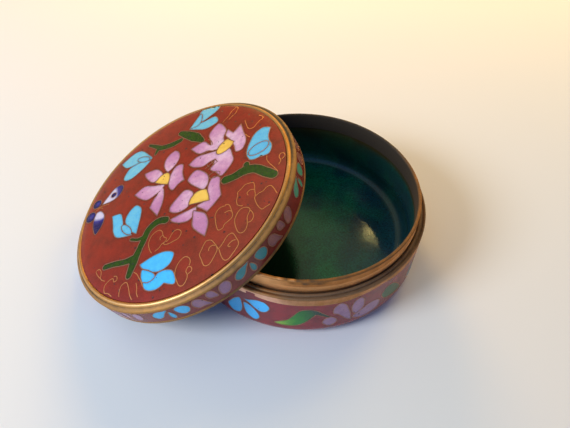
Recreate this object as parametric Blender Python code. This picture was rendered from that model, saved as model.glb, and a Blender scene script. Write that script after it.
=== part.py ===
# A small round cloisonne enamel trinket box, its lid taken off and leaned on the rim.
#
# Both halves are turned copper shells with glass enamel fired on to them, so every piece is a
# body of revolution: one closed outline of (radius, height) points, spun round its own axis.
# The base stands on z = 0 with its axis on the world's Z. The lid is drawn from its own bottom
# rim up, and an empty tips it into the place where it rests: one edge on the ground, its
# hollow hooked over the collar.

import bpy
import bmesh
import math
from mathutils import Vector

MM = 0.001

# Driving dimensions, in millimetres.
outer_radius = 30.0          # side walls of the base and of the lid
seat_gap = 0.05              # between a metal face and the enamel or solder seat on it
segments = 54                # facets round every turned piece

base_height = 14.8           # up to the ledge that the closed lid sits on
rim_band_height = 2.2        # bare copper band under the ledge
foot_round = 3.1             # radius of the rolled lower edge
foot_copper_height = 0.5     # bare copper left showing below the side enamel
foot_flat_width = 0.8        # copper ring that stands on the ground
enamel_thickness = 0.7       # outer enamel
floor_copper = 0.9
floor_enamel = 1.2
floor_crown = 0.6            # how much the floor's enamel domes at the middle
floor_fillet = 2.0           # inside corner between the floor and the wall
edge_ease = 0.25             # small round on worn metal edges

collar_radius = 28.17        # outside of the collar that locates the lid
collar_wall = 0.75
collar_rise = 3.9            # above the ledge
collar_seat = 0.55           # below the ledge, soldered into the cup
collar_groove_drop = 1.1     # turned line under the collar's rolled lip
collar_groove_depth = 0.12

lid_height = 6.25            # bottom rim to the top edge moulding
lid_inner_radius = 28.45     # skirt, a loose fit on the collar
lid_crown = 0.9              # how much the lid's top domes at the middle
lid_lip_height = 0.45        # bare copper rim below the side enamel
moulding_width = 1.6         # the two-bead edge between the top and the side
moulding_height = 1.25
lid_top_enamel_thickness = 0.55
lid_copper = 0.45
lid_inner_enamel_thickness = 0.35

# Where the lid rests: the middle of its bottom rim, and how its axis leans.
lid_rest_centre = (-26.666, -4.770, 13.017)
lid_lean = math.radians(25.641)        # away from upright
lid_heading = math.radians(192.92)     # the way its axis leans, round Z from +X

copper_colour = (0.60, 0.30, 0.14)
gold_colour = (0.72, 0.48, 0.22)
red_enamel_colour = (0.33, 0.05, 0.035)
green_enamel_colour = (0.010, 0.070, 0.055)
blue_enamel_colour = (0.04, 0.22, 0.27)


def clear_scene():
    for item in list(bpy.data.objects):
        bpy.data.objects.remove(item, do_unlink=True)


def make_material(name, colour, roughness, metallic):
    material = bpy.data.materials.new(name)
    material.use_nodes = True
    shader = material.node_tree.nodes["Principled BSDF"]
    shader.inputs["Base Color"].default_value = (*colour, 1.0)
    shader.inputs["Roughness"].default_value = roughness
    shader.inputs["Metallic"].default_value = metallic
    return material


def arc(radius_at, height_at, size, start, end, steps):
    """Points of a round stretch of an outline, both ends included, angles in degrees."""
    points = []
    for step in range(steps + 1):
        angle = math.radians(start + (end - start) * step / steps)
        points.append((radius_at + size * math.cos(angle), height_at + size * math.sin(angle)))
    return points


def crowned(edge_radius, edge_height, crown, steps):
    """A shallow dome's outline, from its middle out to its edge."""
    points = []
    for step in range(steps + 1):
        reach = step / steps
        points.append((edge_radius * reach, edge_height + crown * (1.0 - reach * reach)))
    return points


def turned(name, outline, material, holder=None):
    """Spin a closed outline, given in millimetres, round Z into one solid."""
    shape = bmesh.new()
    corners = [shape.verts.new((radius * MM, 0.0, height * MM)) for radius, height in outline]
    for index, corner in enumerate(corners):
        following = corners[(index + 1) % len(corners)]
        on_axis = corner.co.x == 0.0 and following.co.x == 0.0
        if not on_axis:
            shape.edges.new((corner, following))
    bmesh.ops.spin(
        shape,
        geom=shape.verts[:] + shape.edges[:],
        cent=(0.0, 0.0, 0.0),
        axis=(0.0, 0.0, 1.0),
        angle=2.0 * math.pi,
        steps=segments,
        use_merge=True,
    )
    bmesh.ops.remove_doubles(shape, verts=shape.verts[:], dist=1.0e-6)
    bmesh.ops.recalc_face_normals(shape, faces=shape.faces[:])
    mesh = bpy.data.meshes.new(name)
    shape.to_mesh(mesh)
    shape.free()
    mesh.shade_smooth()
    mesh.set_sharp_from_angle(angle=math.radians(35.0))
    mesh.materials.append(material)
    piece = bpy.data.objects.new(name, mesh)
    piece.parent = holder
    bpy.context.collection.objects.link(piece)
    return piece


# The base ---------------------------------------------------------------------------------

foot_centre = (outer_radius - foot_round, foot_round)
foot_end_angle = -math.degrees(math.asin((foot_round - foot_copper_height) / foot_round))
shell_radius = outer_radius - enamel_thickness - seat_gap        # outside of the cup's wall
cup_inner_radius = collar_radius + seat_gap
lining_outer_radius = cup_inner_radius - seat_gap
lining_inner_radius = collar_radius - collar_wall + 0.1
bottom_enamel_radius = foot_centre[0] - foot_flat_width
floor_copper_top = enamel_thickness + seat_gap + floor_copper
floor_edge_top = floor_copper_top + seat_gap + floor_enamel
collar_bottom = base_height - collar_seat
collar_top = base_height + collar_rise


def build_base_cup(material):
    """The copper cup: floor, wall, the band under the ledge and the foot ring."""
    corner = floor_fillet + seat_gap
    shell_round = foot_round - enamel_thickness - seat_gap
    band_bottom = base_height - rim_band_height
    outline = [(0.0, floor_copper_top)]
    outline += arc(cup_inner_radius - corner, floor_copper_top + corner, corner, -90, 0, 3)
    outline += [(cup_inner_radius, base_height)]
    outline += arc(outer_radius - edge_ease, base_height - edge_ease, edge_ease, 90, 0, 2)
    outline += [(outer_radius, band_bottom), (shell_radius, band_bottom)]
    outline += arc(*foot_centre, shell_round, 0, foot_end_angle, 2)
    outline += arc(*foot_centre, foot_round, foot_end_angle, -90, 2)
    outline += [(bottom_enamel_radius + seat_gap, 0.0)]
    outline += [(bottom_enamel_radius + seat_gap, enamel_thickness + seat_gap)]
    outline += [(0.0, enamel_thickness + seat_gap)]
    return turned("base_cup", outline, material)


def build_base_collar(material):
    """The upright copper strip that the lid slips over, with a rolled lip at its top."""
    inner = collar_radius - collar_wall
    groove = collar_top - collar_groove_drop
    outline = [(inner, collar_bottom)]
    outline += arc(inner + edge_ease, collar_top - edge_ease, edge_ease, 180, 90, 1)
    outline += arc(collar_radius - edge_ease, collar_top - edge_ease, edge_ease, 90, 0, 2)
    outline += [(collar_radius, groove + collar_groove_depth)]
    outline += [(collar_radius - collar_groove_depth, groove)]
    outline += [(collar_radius, groove - collar_groove_depth)]
    outline += [(collar_radius, collar_bottom)]
    return turned("base_collar", outline, material)


def build_base_outer_enamel(material):
    """The coloured band on the side, wrapping under on to the rolled edge."""
    top = base_height - rim_band_height - seat_gap
    start_angle = foot_end_angle + 1.5
    outline = [(outer_radius - enamel_thickness, top), (outer_radius, top)]
    outline += arc(*foot_centre, foot_round, 0, start_angle, 3)
    outline += arc(*foot_centre, foot_round - enamel_thickness, start_angle, 0, 3)
    return turned("base_outer_enamel", outline, material)


def build_base_inner_enamel(material):
    """The lining: a gently domed floor, a round corner and the wall up to the collar."""
    corner = (lining_inner_radius - floor_fillet, floor_edge_top + floor_fillet)
    outline = crowned(corner[0], floor_edge_top, floor_crown, 3)
    outline += arc(*corner, floor_fillet, -90, 0, 4)[1:]
    outline += [(lining_inner_radius, collar_bottom - seat_gap)]
    outline += [(lining_outer_radius, collar_bottom - seat_gap)]
    seat_corner = cup_inner_radius - floor_fillet - seat_gap
    seat_height = floor_copper_top + floor_fillet + seat_gap
    outline += arc(seat_corner, seat_height, floor_fillet, 0, -90, 3)
    outline += [(0.0, floor_copper_top + seat_gap)]
    return turned("base_inner_enamel", outline, material)


def build_base_bottom_enamel(material):
    """The flat disc of counter-enamel inside the foot ring, level with it."""
    outline = [
        (0.0, enamel_thickness),
        (bottom_enamel_radius, enamel_thickness),
        (bottom_enamel_radius, 0.0),
        (0.0, 0.0),
    ]
    return turned("base_bottom_enamel", outline, material)


# The lid ----------------------------------------------------------------------------------

moulding_inner_radius = outer_radius - moulding_width
moulding_bottom = lid_height - moulding_height
lid_copper_top = lid_height - lid_top_enamel_thickness - seat_gap
lid_copper_bottom = lid_copper_top - lid_copper
bead_radius = 0.36 * moulding_width


def build_lid_shell(material, holder):
    """The copper shell: lip, skirt, two-bead edge moulding and the plate under the top."""
    inner_bead = (moulding_inner_radius + bead_radius, lid_height - bead_radius)
    outer_bead = (outer_radius - bead_radius, moulding_bottom + bead_radius)
    plate_radius = moulding_inner_radius
    outline = crowned(plate_radius, lid_copper_top, lid_crown, 3)
    outline += arc(*inner_bead, bead_radius, 160, 0, 3)
    outline += arc(*outer_bead, bead_radius, 75, 0, 2)
    outline += [(outer_radius, moulding_bottom), (shell_radius, moulding_bottom)]
    outline += [(shell_radius, lid_lip_height), (outer_radius, lid_lip_height)]
    outline += [(outer_radius, 0.0), (lid_inner_radius, 0.0)]
    outline += reversed(crowned(lid_inner_radius, lid_copper_bottom, lid_crown, 3))
    return turned("lid_shell", outline, material, holder)


def build_lid_top_enamel(material, holder):
    """The domed picture field inside the moulding."""
    edge = moulding_inner_radius - seat_gap
    top = crowned(edge, lid_height, lid_crown, 5)
    bottom = crowned(edge, lid_height - lid_top_enamel_thickness, lid_crown, 3)
    return turned("lid_top_enamel", top + bottom[::-1], material, holder)


def build_lid_side_enamel(material, holder):
    """The narrow coloured band round the lid's skirt."""
    inner = outer_radius - enamel_thickness
    low = lid_lip_height + seat_gap
    high = moulding_bottom - seat_gap
    outline = [(inner, high), (outer_radius, high), (outer_radius, low), (inner, low)]
    return turned("lid_side_enamel", outline, material, holder)


def build_lid_inner_enamel(material, holder):
    """The lining under the lid's top."""
    edge = lid_inner_radius - seat_gap
    top_edge = lid_copper_bottom - seat_gap
    top = crowned(edge, top_edge, lid_crown, 3)
    bottom = crowned(edge, top_edge - lid_inner_enamel_thickness, lid_crown, 3)
    return turned("lid_inner_enamel", top + bottom[::-1], material, holder)


def place_lid_holder():
    """The empty that carries the lid's pieces to where the lid rests."""
    axis = Vector((
        math.sin(lid_lean) * math.cos(lid_heading),
        math.sin(lid_lean) * math.sin(lid_heading),
        math.cos(lid_lean),
    ))
    holder = bpy.data.objects.new("lid_rest", None)
    holder.location = Vector(lid_rest_centre) * MM
    holder.rotation_mode = "QUATERNION"
    holder.rotation_quaternion = Vector((0.0, 0.0, 1.0)).rotation_difference(axis)
    bpy.context.collection.objects.link(holder)
    return holder


def main():
    clear_scene()
    copper = make_material("aged_copper", copper_colour, 0.38, 1.0)
    gilt = make_material("worn_gilt_copper", gold_colour, 0.30, 1.0)
    red = make_material("red_enamel", red_enamel_colour, 0.22, 0.0)
    green = make_material("green_enamel", green_enamel_colour, 0.15, 0.0)
    blue = make_material("blue_enamel", blue_enamel_colour, 0.20, 0.0)

    build_base_cup(copper)
    build_base_collar(copper)
    build_base_outer_enamel(red)
    build_base_inner_enamel(green)
    build_base_bottom_enamel(blue)

    holder = place_lid_holder()
    build_lid_shell(gilt, holder)
    build_lid_top_enamel(red, holder)
    build_lid_side_enamel(red, holder)
    build_lid_inner_enamel(green, holder)


main()
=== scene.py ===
# A small round cloisonne enamel box: copper cup and collar, flower-patterned red enamel,
# dark green lining, and a lid with a gilt edge that leans on the collar.
import math
import random

import bmesh
import bpy
import numpy as np
from mathutils import Matrix, Vector
from mathutils.geometry import delaunay_2d_cdt
from mathutils.kdtree import KDTree


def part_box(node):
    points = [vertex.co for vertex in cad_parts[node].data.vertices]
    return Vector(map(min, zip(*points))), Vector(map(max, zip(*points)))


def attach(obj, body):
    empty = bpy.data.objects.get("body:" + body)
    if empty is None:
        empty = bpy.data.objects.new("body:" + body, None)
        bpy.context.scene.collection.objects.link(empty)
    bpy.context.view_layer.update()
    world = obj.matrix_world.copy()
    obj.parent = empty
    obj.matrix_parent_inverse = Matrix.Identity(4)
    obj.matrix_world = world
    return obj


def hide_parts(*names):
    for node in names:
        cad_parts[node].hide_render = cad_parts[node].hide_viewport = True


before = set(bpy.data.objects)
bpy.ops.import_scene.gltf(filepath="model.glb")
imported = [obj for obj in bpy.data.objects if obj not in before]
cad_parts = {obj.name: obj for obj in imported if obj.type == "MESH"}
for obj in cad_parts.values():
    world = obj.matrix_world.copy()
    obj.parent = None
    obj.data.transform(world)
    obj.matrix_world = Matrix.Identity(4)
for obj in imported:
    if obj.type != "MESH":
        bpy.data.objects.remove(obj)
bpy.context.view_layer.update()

mm = 0.001
scene = bpy.context.scene
print("frame loaded:", ", ".join(sorted(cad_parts)))


# Small helpers

def linearColour(hexCode):
    # sRGB hex to the linear colour that a shader socket takes
    channels = []
    for start in (1, 3, 5):
        value = int(hexCode[start:start + 2], 16) / 255.0
        channels.append(value / 12.92 if value <= 0.04045 else ((value + 0.055) / 1.055) ** 2.4)
    return (*channels, 1.0)


def feed(tree, node, inputs):
    # gives a node's inputs their values, or links them to sockets or to nodes' first outputs in use
    for name, value in inputs.items():
        if isinstance(name, int):
            socket = node.inputs[name]
        else:
            socket = next(each for each in node.inputs if each.enabled and each.name == name)
        if isinstance(value, bpy.types.Node):
            value = next(each for each in value.outputs if each.enabled)
        if isinstance(value, bpy.types.NodeSocket):
            tree.links.new(value, socket)
        else:
            socket.default_value = value


def addNode(tree, kind, settings=None, inputs=None):
    # one node with its settings and links; a ramp's stops are (position, hex colour) pairs
    node = tree.nodes.new(kind)
    for name, value in (settings or {}).items():
        if name == "stops":
            elements = node.color_ramp.elements
            while len(elements) < len(value):
                elements.new(0.5)
            for element, (position, hexCode) in zip(elements, value):
                element.position = position
                element.color = linearColour(hexCode)
        else:
            setattr(node, name, value)
    feed(tree, node, inputs or {})
    return node


def placeMesh(mesh, slotName, *replaced):
    # a finished piece: at the origin, riding on the one body, standing for its solids
    piece = bpy.data.objects.new(mesh.name, mesh)
    scene.collection.objects.link(piece)
    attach(piece, "root")
    if replaced:
        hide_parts(*replaced)
    return piece


def meshPoints(mesh):
    points = np.empty(len(mesh.vertices) * 3)
    mesh.vertices.foreach_get("co", points)
    return points.reshape(-1, 3)


# Where things are, read from the frame

def findLidPlace():
    # the lid is round, so its axis is the thin direction of its shell
    points = solidPoints("lid_shell")
    middle = points.mean(axis=0)
    axis = np.linalg.svd(points - middle)[2][2]
    axis = axis * np.sign(axis[2])
    bottom = middle + axis * ((points - middle) @ axis).min()
    across = np.array((1.0, 0.0, 0.0)) - axis[0] * axis
    across /= np.linalg.norm(across)
    back = np.cross(axis, across)
    place = Matrix((across, back, axis)).transposed().to_4x4()
    place.translation = Vector(bottom)
    return place


def solidPoints(name):
    # each corner of a solid once, in metres
    return np.unique(np.round(meshPoints(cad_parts[name].data), 7), axis=0)


def lidSpan(name):
    # (lowest height, highest height, inner radius, outer radius) of a lid piece along its axis, in mm
    local = solidPoints(name) @ lidPlaceBack[:3, :3].T + lidPlaceBack[:3, 3]
    radii = np.hypot(local[:, 0], local[:, 1])
    return [value / mm for value in (local[:, 2].min(), local[:, 2].max(), radii.min(), radii.max())]


def baseSpan(name):
    # (lowest height, highest height, outer radius) of a base piece, in mm
    low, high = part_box(name)
    return low[2] / mm, high[2] / mm, high[0] / mm


lidPlace = findLidPlace()
lidPlaceBack = np.array(lidPlace.inverted())
wireProud = 0.03                               # how far a wire stands out of the enamel
facetDip = 0.05                                # the solids' flat facets dip this far inside the circle
footRound = 3.1                                # radius of the base's rolled lower edge
ledgeHeight = baseSpan("base_cup")[1]
bandBottom, wallOuter = baseSpan("base_outer_enamel")[1:]
wallRadius = wallOuter - facetDip - wireProud
bandRadius = wallRadius + wireProud
collarBottom, collarTop, collarRadius = baseSpan("base_collar")
print("lid leans", round(math.degrees(math.acos(lidPlace[2][2])), 2), "degrees")


# Outlines, as lists of (radius, height) in mm

def arcPoints(middle, size, start, end, steps):
    points = []
    for step in range(steps + 1):
        angle = math.radians(start + (end - start) * step / steps)
        points.append((middle[0] + size * math.cos(angle), middle[1] + size * math.sin(angle)))
    return points


def upright(radius, low, high, count):
    return [(radius, height) for height in np.linspace(low, high, count)]


def crownHeight(radius, edgeRadius, edgeHeight, crown):
    return edgeHeight + crown * (1.0 - (radius / edgeRadius) ** 2)


def crownPoints(reach, edgeRadius, edgeHeight, crown, steps):
    # a domed face, from the middle out as far as the reach
    radii = [reach * step / steps for step in range(steps + 1)]
    return [(radius, crownHeight(radius, edgeRadius, edgeHeight, crown)) for radius in radii]


def graded(points, first, last):
    # a stretch for each point, with a share of tarnish that grows evenly
    return [([point], mark) for point, mark in zip(points, np.linspace(first, last, len(points)))]


# Geometry Nodes trees: what they share, and how one is run

def newTree(name, sockets):
    # a tree with its named inputs, and the outputs of its input node
    tree = bpy.data.node_groups.new(name, "GeometryNodeTree")
    for socketName, kind in sockets.items():
        tree.interface.new_socket(socketName, in_out="INPUT", socket_type="NodeSocket" + kind)
    tree.interface.new_socket("Piece", in_out="OUTPUT", socket_type="NodeSocketGeometry")
    return tree, addNode(tree, "NodeGroupInput").outputs


def finishTree(tree, shape, finish):
    # the export drops instances, so the piece is made real before it gets its material
    real = addNode(tree, "GeometryNodeRealizeInstances", inputs={"Geometry": shape})
    finished = addNode(tree, "GeometryNodeSetMaterial", inputs={"Geometry": real, "Material": finish})
    addNode(tree, "NodeGroupOutput", inputs={"Piece": finished})
    return tree


def runTree(name, guide, tree, values):
    # gives a guide mesh a node tree, sets its named inputs, and returns the mesh that comes out
    holder = bpy.data.objects.new(name + "_guide", guide)
    scene.collection.objects.link(holder)
    modifier = holder.modifiers.new("Shape", "NODES")
    modifier.node_group = tree
    for socket in tree.interface.items_tree:
        if socket.in_out == "INPUT" and socket.name in values:
            modifier[socket.identifier] = values[socket.name]
    depsgraph = bpy.context.evaluated_depsgraph_get()
    made = bpy.data.meshes.new_from_object(holder.evaluated_get(depsgraph))
    holder.modifiers.remove(modifier)
    bpy.data.objects.remove(holder, do_unlink=True)
    bpy.data.meshes.remove(guide)
    made.name = name
    return made


def tidyFaces(mesh, sharpAngle):
    shape = bmesh.new()
    shape.from_mesh(mesh)
    bmesh.ops.recalc_face_normals(shape, faces=shape.faces[:])
    shape.to_mesh(mesh)
    shape.free()
    mesh.shade_smooth()
    mesh.set_sharp_from_angle(angle=math.radians(sharpAngle))


# Turned pieces: an outline swept round an axis

turning = {"facets": 240, "spindle": 1.0, "weld": 0.002, "sharpAngle": 40.0}   # mm and degrees


def turnedTree():
    tree, given = newTree("Turned on an axis", {
        "Outline": "Geometry", "Facets": "Int", "Spindle radius": "Float", "Finish": "Material"})
    spindle = addNode(tree, "GeometryNodeCurvePrimitiveCircle", inputs={
        "Resolution": given["Facets"], "Radius": given["Spindle radius"]})
    standing = addNode(tree, "GeometryNodeSetCurveNormal", {"mode": "Z_UP"}, {"Curve": spindle})
    inward = addNode(tree, "ShaderNodeMath", {"operation": "MULTIPLY"}, {
        0: given["Spindle radius"], 1: -1.0})
    shift = addNode(tree, "ShaderNodeCombineXYZ", inputs={"X": inward})
    # the outline is drawn standing up, and a sweep wants it lying in X and Y
    lying = addNode(tree, "GeometryNodeTransform", inputs={
        "Geometry": given["Outline"], "Translation": shift, "Rotation": (math.pi / 2, 0.0, 0.0)})
    profile = addNode(tree, "GeometryNodeMeshToCurve", inputs={"Mesh": lying})
    swept = addNode(tree, "GeometryNodeCurveToMesh", inputs={"Curve": standing, "Profile Curve": profile})
    closed = addNode(tree, "GeometryNodeMergeByDistance", inputs={
        "Geometry": swept, "Distance": turning["weld"] * mm})
    return finishTree(tree, closed, given["Finish"])


turnedShape = turnedTree()


def turnedMesh(name, finish, stretches):
    # the outline comes in stretches, each (points in mm, their share of tarnish and painted shade from 0 to
    # 1)
    outline = [point for points, mark in stretches for point in points]
    marks = [mark for points, mark in stretches for point in points]
    edges = [(index, (index + 1) % len(outline)) for index in range(len(outline))]
    if outline[0][0] == 0.0 and outline[-1][0] == 0.0:
        edges = edges[:-1]                     # both ends are on the axis
    guide = bpy.data.meshes.new(name)
    guide.from_pydata([(radius * mm, 0.0, height * mm) for radius, height in outline], edges, [])
    guide.attributes.new("tarnish", "FLOAT", "POINT").data.foreach_set("value", marks)
    made = runTree(name, guide, turnedShape, {
        "Facets": turning["facets"], "Spindle radius": turning["spindle"] * mm, "Finish": finish})
    tidyFaces(made, turning["sharpAngle"])
    return made


def shadeAndWearRound(mesh, wearAndShade, low=-math.inf, high=math.inf):
    # more or less tarnish and painted shade by angle round the piece, as (degrees, amount), between two
    # heights in mm
    points = meshPoints(mesh) / mm
    turn = np.degrees(np.arctan2(points[:, 1], points[:, 0])) % 360
    inside = (points[:, 2] >= low) & (points[:, 2] <= high)
    angles, amounts = zip(*wearAndShade)
    values = np.empty(len(points), np.float32)
    mesh.attributes["tarnish"].data.foreach_get("value", values)
    values += np.where(inside, np.interp(turn, angles, amounts), 0.0).astype(np.float32)
    mesh.attributes["tarnish"].data.foreach_set("value", values)


# Finishes

perMm = 1000.0                                 # Object coordinates are in metres: one cycle a mm


def newFinish(name):
    material = bpy.data.materials.new(name)
    material.use_nodes = True
    tree = material.node_tree
    place = addNode(tree, "ShaderNodeTexCoord").outputs["Object"]
    return material, tree, tree.nodes["Principled BSDF"], place


def speckled(tree, colour, grain, share, stops):
    # fine dark and light grains over a colour
    speck = addNode(tree, "ShaderNodeValToRGB", {"stops": stops}, {"Fac": grain})
    return addNode(tree, "ShaderNodeMix", {"data_type": "RGBA", "blend_type": "SOFT_LIGHT"}, {
        "Factor": share, "A": colour, "B": speck})


def enamelFinish(name, look):
    # opaque glass enamel, fired, stoned flat and polished: a glossy, faintly wavy skin with
    # cloudy colour, fine frit grain, black pin-holes and a smoky line along the wires
    material, tree, shader, place = newFinish(name)
    along = addNode(tree, "ShaderNodeAttribute", {"attribute_name": "along"}).outputs["Fac"]
    rim = addNode(tree, "ShaderNodeAttribute", {"attribute_name": "rim"}).outputs["Fac"]
    cloud = addNode(tree, "ShaderNodeTexNoise", inputs={
        "Vector": place, "Scale": perMm / look["cloud"], "Detail": 3.0, "Roughness": 0.6})
    grain = addNode(tree, "ShaderNodeTexNoise", inputs={
        "Vector": place, "Scale": perMm / look["grain"], "Detail": 2.0, "Roughness": 0.7})
    wander = addNode(tree, "ShaderNodeMath", {"operation": "MULTIPLY_ADD"}, {
        0: cloud, 1: look["wander"], 2: -0.5 * look["wander"]})
    spot = addNode(tree, "ShaderNodeMath", {"operation": "ADD"}, {0: along, 1: wander})
    body = addNode(tree, "ShaderNodeValToRGB", {"stops": look["stops"]}, {"Fac": spot})
    cloudy = addNode(tree, "ShaderNodeMapRange", inputs={
        "Value": cloud, "From Min": look["cloudFrom"], "From Max": look["cloudTo"],
        "To Min": 0.0, "To Max": look["cloudShare"]})
    clouded = addNode(tree, "ShaderNodeMix", {"data_type": "RGBA"}, {
        "Factor": cloudy, "A": body, "B": linearColour(look["cloudColour"])})
    grained = speckled(tree, clouded, grain, look["grainShare"], look["grainStops"])
    near = addNode(tree, "ShaderNodeMath", {"operation": "SUBTRACT"}, {0: 1.0, 1: rim})
    smoke = addNode(tree, "ShaderNodeMath", {"operation": "MULTIPLY"}, {0: near, 1: look["smoke"]})
    smoked = addNode(tree, "ShaderNodeMix", {"data_type": "RGBA"}, {
        "Factor": smoke, "A": grained, "B": linearColour(look["smokeColour"])})
    # pin-holes: the middles of a few Voronoi cells, each as large as its cell's chance allows
    holes = addNode(tree, "ShaderNodeTexVoronoi", inputs={
        "Vector": place, "Scale": perMm / look["pitSpacing"], "Randomness": 1.0})
    chance = addNode(tree, "ShaderNodeSeparateColor", inputs={"Color": holes.outputs["Color"]})
    lucky = addNode(tree, "ShaderNodeMath", {"operation": "SUBTRACT", "use_clamp": True}, {
        0: chance, 1: look["pitChance"]})
    reach = addNode(tree, "ShaderNodeMath", {"operation": "MULTIPLY"}, {0: lucky, 1: look["pitSize"]})
    pit = addNode(tree, "ShaderNodeMath", {"operation": "LESS_THAN"}, {
        0: holes.outputs["Distance"], 1: reach})
    pitShade = addNode(tree, "ShaderNodeMath", {"operation": "MULTIPLY"}, {0: pit, 1: look["pitDepth"]})
    pitted = addNode(tree, "ShaderNodeMix", {"data_type": "RGBA"}, {
        "Factor": pitShade, "A": smoked, "B": linearColour(look["pitColour"])})
    dull = addNode(tree, "ShaderNodeMath", {"operation": "MULTIPLY_ADD"}, {
        0: cloud, 1: look["roughSpread"], 2: look["rough"] - 0.5 * look["roughSpread"]})
    rough = addNode(tree, "ShaderNodeMath", {"operation": "MAXIMUM"}, {0: dull, 1: pitShade})
    wave = addNode(tree, "ShaderNodeTexNoise", inputs={
        "Vector": place, "Scale": perMm / look["waveSpacing"], "Detail": 1.0})
    height = addNode(tree, "ShaderNodeMath", {"operation": "SUBTRACT"}, {0: wave, 1: pitShade})
    bump = addNode(tree, "ShaderNodeBump", inputs={
        "Height": height, "Distance": look["waveHeight"] * mm, "Strength": look["wave"]})
    feed(tree, shader, {"Base Color": pitted, "Roughness": rough, "Normal": bump, "IOR": look["ior"]})
    return material


# spacings and heights in mm; the stops run from a cell's heart to its rim
plainEnamel = {
    "cloud": 2.4, "cloudFrom": 0.38, "cloudTo": 0.72, "cloudShare": 0.45, "cloudColour": "#803028",
    "wander": 0.0, "grain": 0.22, "grainShare": 0.5, "grainStops": [(0.3, "#585858"), (0.7, "#a8a8a8")],
    "smoke": 0.4, "smokeColour": "#4a2c1c",
    "pitSpacing": 1.3, "pitChance": 0.76, "pitSize": 0.9, "pitDepth": 0.85, "pitColour": "#1a0f0c",
    "rough": 0.24, "roughSpread": 0.12, "wave": 0.35, "waveSpacing": 2.6, "waveHeight": 0.05, "ior": 1.48,
}
enamelLooks = {
    "red": {
        "stops": [(0.0, "#a83c26"), (1.0, "#a83c26")], "cloudColour": "#843420", "cloud": 3.2,
        "cloudShare": 0.75, "grainShare": 0.8, "pitSpacing": 1.1, "pitChance": 0.7},
    "wallRed": {
        "stops": [(0.0, "#a2302e"), (1.0, "#a2302e")], "cloudColour": "#4e1a12", "smoke": 0.2},
    # the lid wall's red is browner than the base wall's: partly patina, partly painted shade on the lid's
    # side
    "lidWallRed": {
        "stops": [(0.0, "#98382a"), (1.0, "#98382a")], "cloudColour": "#521e14", "smoke": 0.2},
    "lilac": {
        "stops": [(0.0, "#eccfd0"), (0.45, "#e6b6c0"), (0.8, "#d698ae"), (1.0, "#cc8ca6")],
        "cloudColour": "#b97ba0", "smokeColour": "#70434a", "wander": 0.4, "cloud": 1.4, "pitSpacing": 1.0},
    # on the walls a copy's place in the purple and wallBlue stops is painted light: browner and greener on
    # the right, where the light is warm and dim
    "purple": {
        "stops": [(0.0, "#bc8068"), (0.5, "#b88070"), (0.8, "#b48694"), (1.0, "#be8c9e")],
        "cloudColour": "#7e5878", "smokeColour": "#5a3444", "wander": 0.3, "cloud": 1.6, "smoke": 0.2},
    "turquoise": {
        "stops": [(0.0, "#88c6ca"), (0.5, "#76c4d6"), (1.0, "#56c8f4")],
        "cloudColour": "#4fa8cf", "smokeColour": "#2d5a6a", "wander": 0.3, "cloud": 1.4,
        "cloudShare": 0.4, "pitSpacing": 1.6, "pitChance": 0.84},
    "wallBlue": {
        "stops": [(0.0, "#6cb490"), (0.5, "#449c94"), (1.0, "#5cd4ff")],
        "cloudColour": "#4c9cb8", "smokeColour": "#2d5a6a", "wander": 0.3, "cloud": 1.4,
        "cloudShare": 0.3, "smoke": 0.25, "pitSpacing": 1.6, "pitChance": 0.84},
    "green": {
        "stops": [(0.0, "#3a5812"), (0.5, "#3c6412"), (1.0, "#486c1a")],
        "cloudColour": "#1c2e08", "smokeColour": "#1c3014", "wander": 0.8, "cloud": 0.8,
        "cloudShare": 0.8, "pitSpacing": 0.55, "pitChance": 0.45},
    "leafGreen": {
        "stops": [(0.0, "#b4c84a"), (0.3, "#76ac30"), (0.5, "#36982a"), (0.85, "#227026"), (1.0, "#2a4a34")],
        "cloudColour": "#1d5a2c", "smokeColour": "#1c3014", "wander": 0.15, "cloud": 1.6, "smoke": 0.2,
        "pitSpacing": 0.9},
    "yellow": {
        "stops": [(0.0, "#f8cc60"), (1.0, "#f2c04c")],
        "cloudColour": "#e6ae40", "smokeColour": "#8a5a20", "wander": 0.5},
    "wing": {
        "stops": [(0.0, "#e4d2d4"), (0.46, "#d8cad2"), (0.56, "#262080"), (0.66, "#161058"),
                  (1.0, "#0e0a40")],
        "cloudColour": "#cdb6d2", "smokeColour": "#2c2450", "wander": 0.1, "cloudShare": 0.1},
    "deepBlue": {
        "stops": [(0.0, "#524ea0"), (0.35, "#1c1670"), (0.6, "#120e48")],
        "cloudColour": "#1a1860", "smokeColour": "#141038"},
    "pit": {
        "stops": [(0.0, "#2a1812"), (1.0, "#2a1812")], "cloudColour": "#120a08", "rough": 0.7},
}
enamels = {name: enamelFinish(name + "_opaque_enamel", {**plainEnamel, **look})
           for name, look in enamelLooks.items()}

liningLook = {
    "pool": 9.0, "wave": 5.0, "waveHeight": 0.12,              # spacings and heights in mm
    "grain": 0.45, "grainHeight": 0.012, "grainShare": 0.9,
    "grainStops": [(0.32, "#3c3c3c"), (0.68, "#c0c0c0")],
    "stops": [(0.3, "#127048"), (0.5, "#187c56"), (0.75, "#0e5454"), (1.0, "#0a3e5a")],
    # painted cool light: the lining is bluer towards the right, where the cool light falls
    "bluerFrom": 8.0, "bluerTo": 28.0, "bluer": 0.4,           # mm to the right of the base's axis
    # painted shade: the lining darkens towards the front left, under the leaning lid
    "lidShadeFrom": -6.0, "lidShadeTo": 1.0, "lidShadeSlant": 0.3, "lidShade": 0.95, "lidShadeColour": "#04120e",
    "crust": [(0.6, "#1e381c"), (0.9, "#382c0a")], "uneven": 0.5,
    "rough": 0.14, "roughCrust": 0.4, "gloss": 0.5, "glossCrust": -0.42, "ior": 1.6,
}


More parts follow.
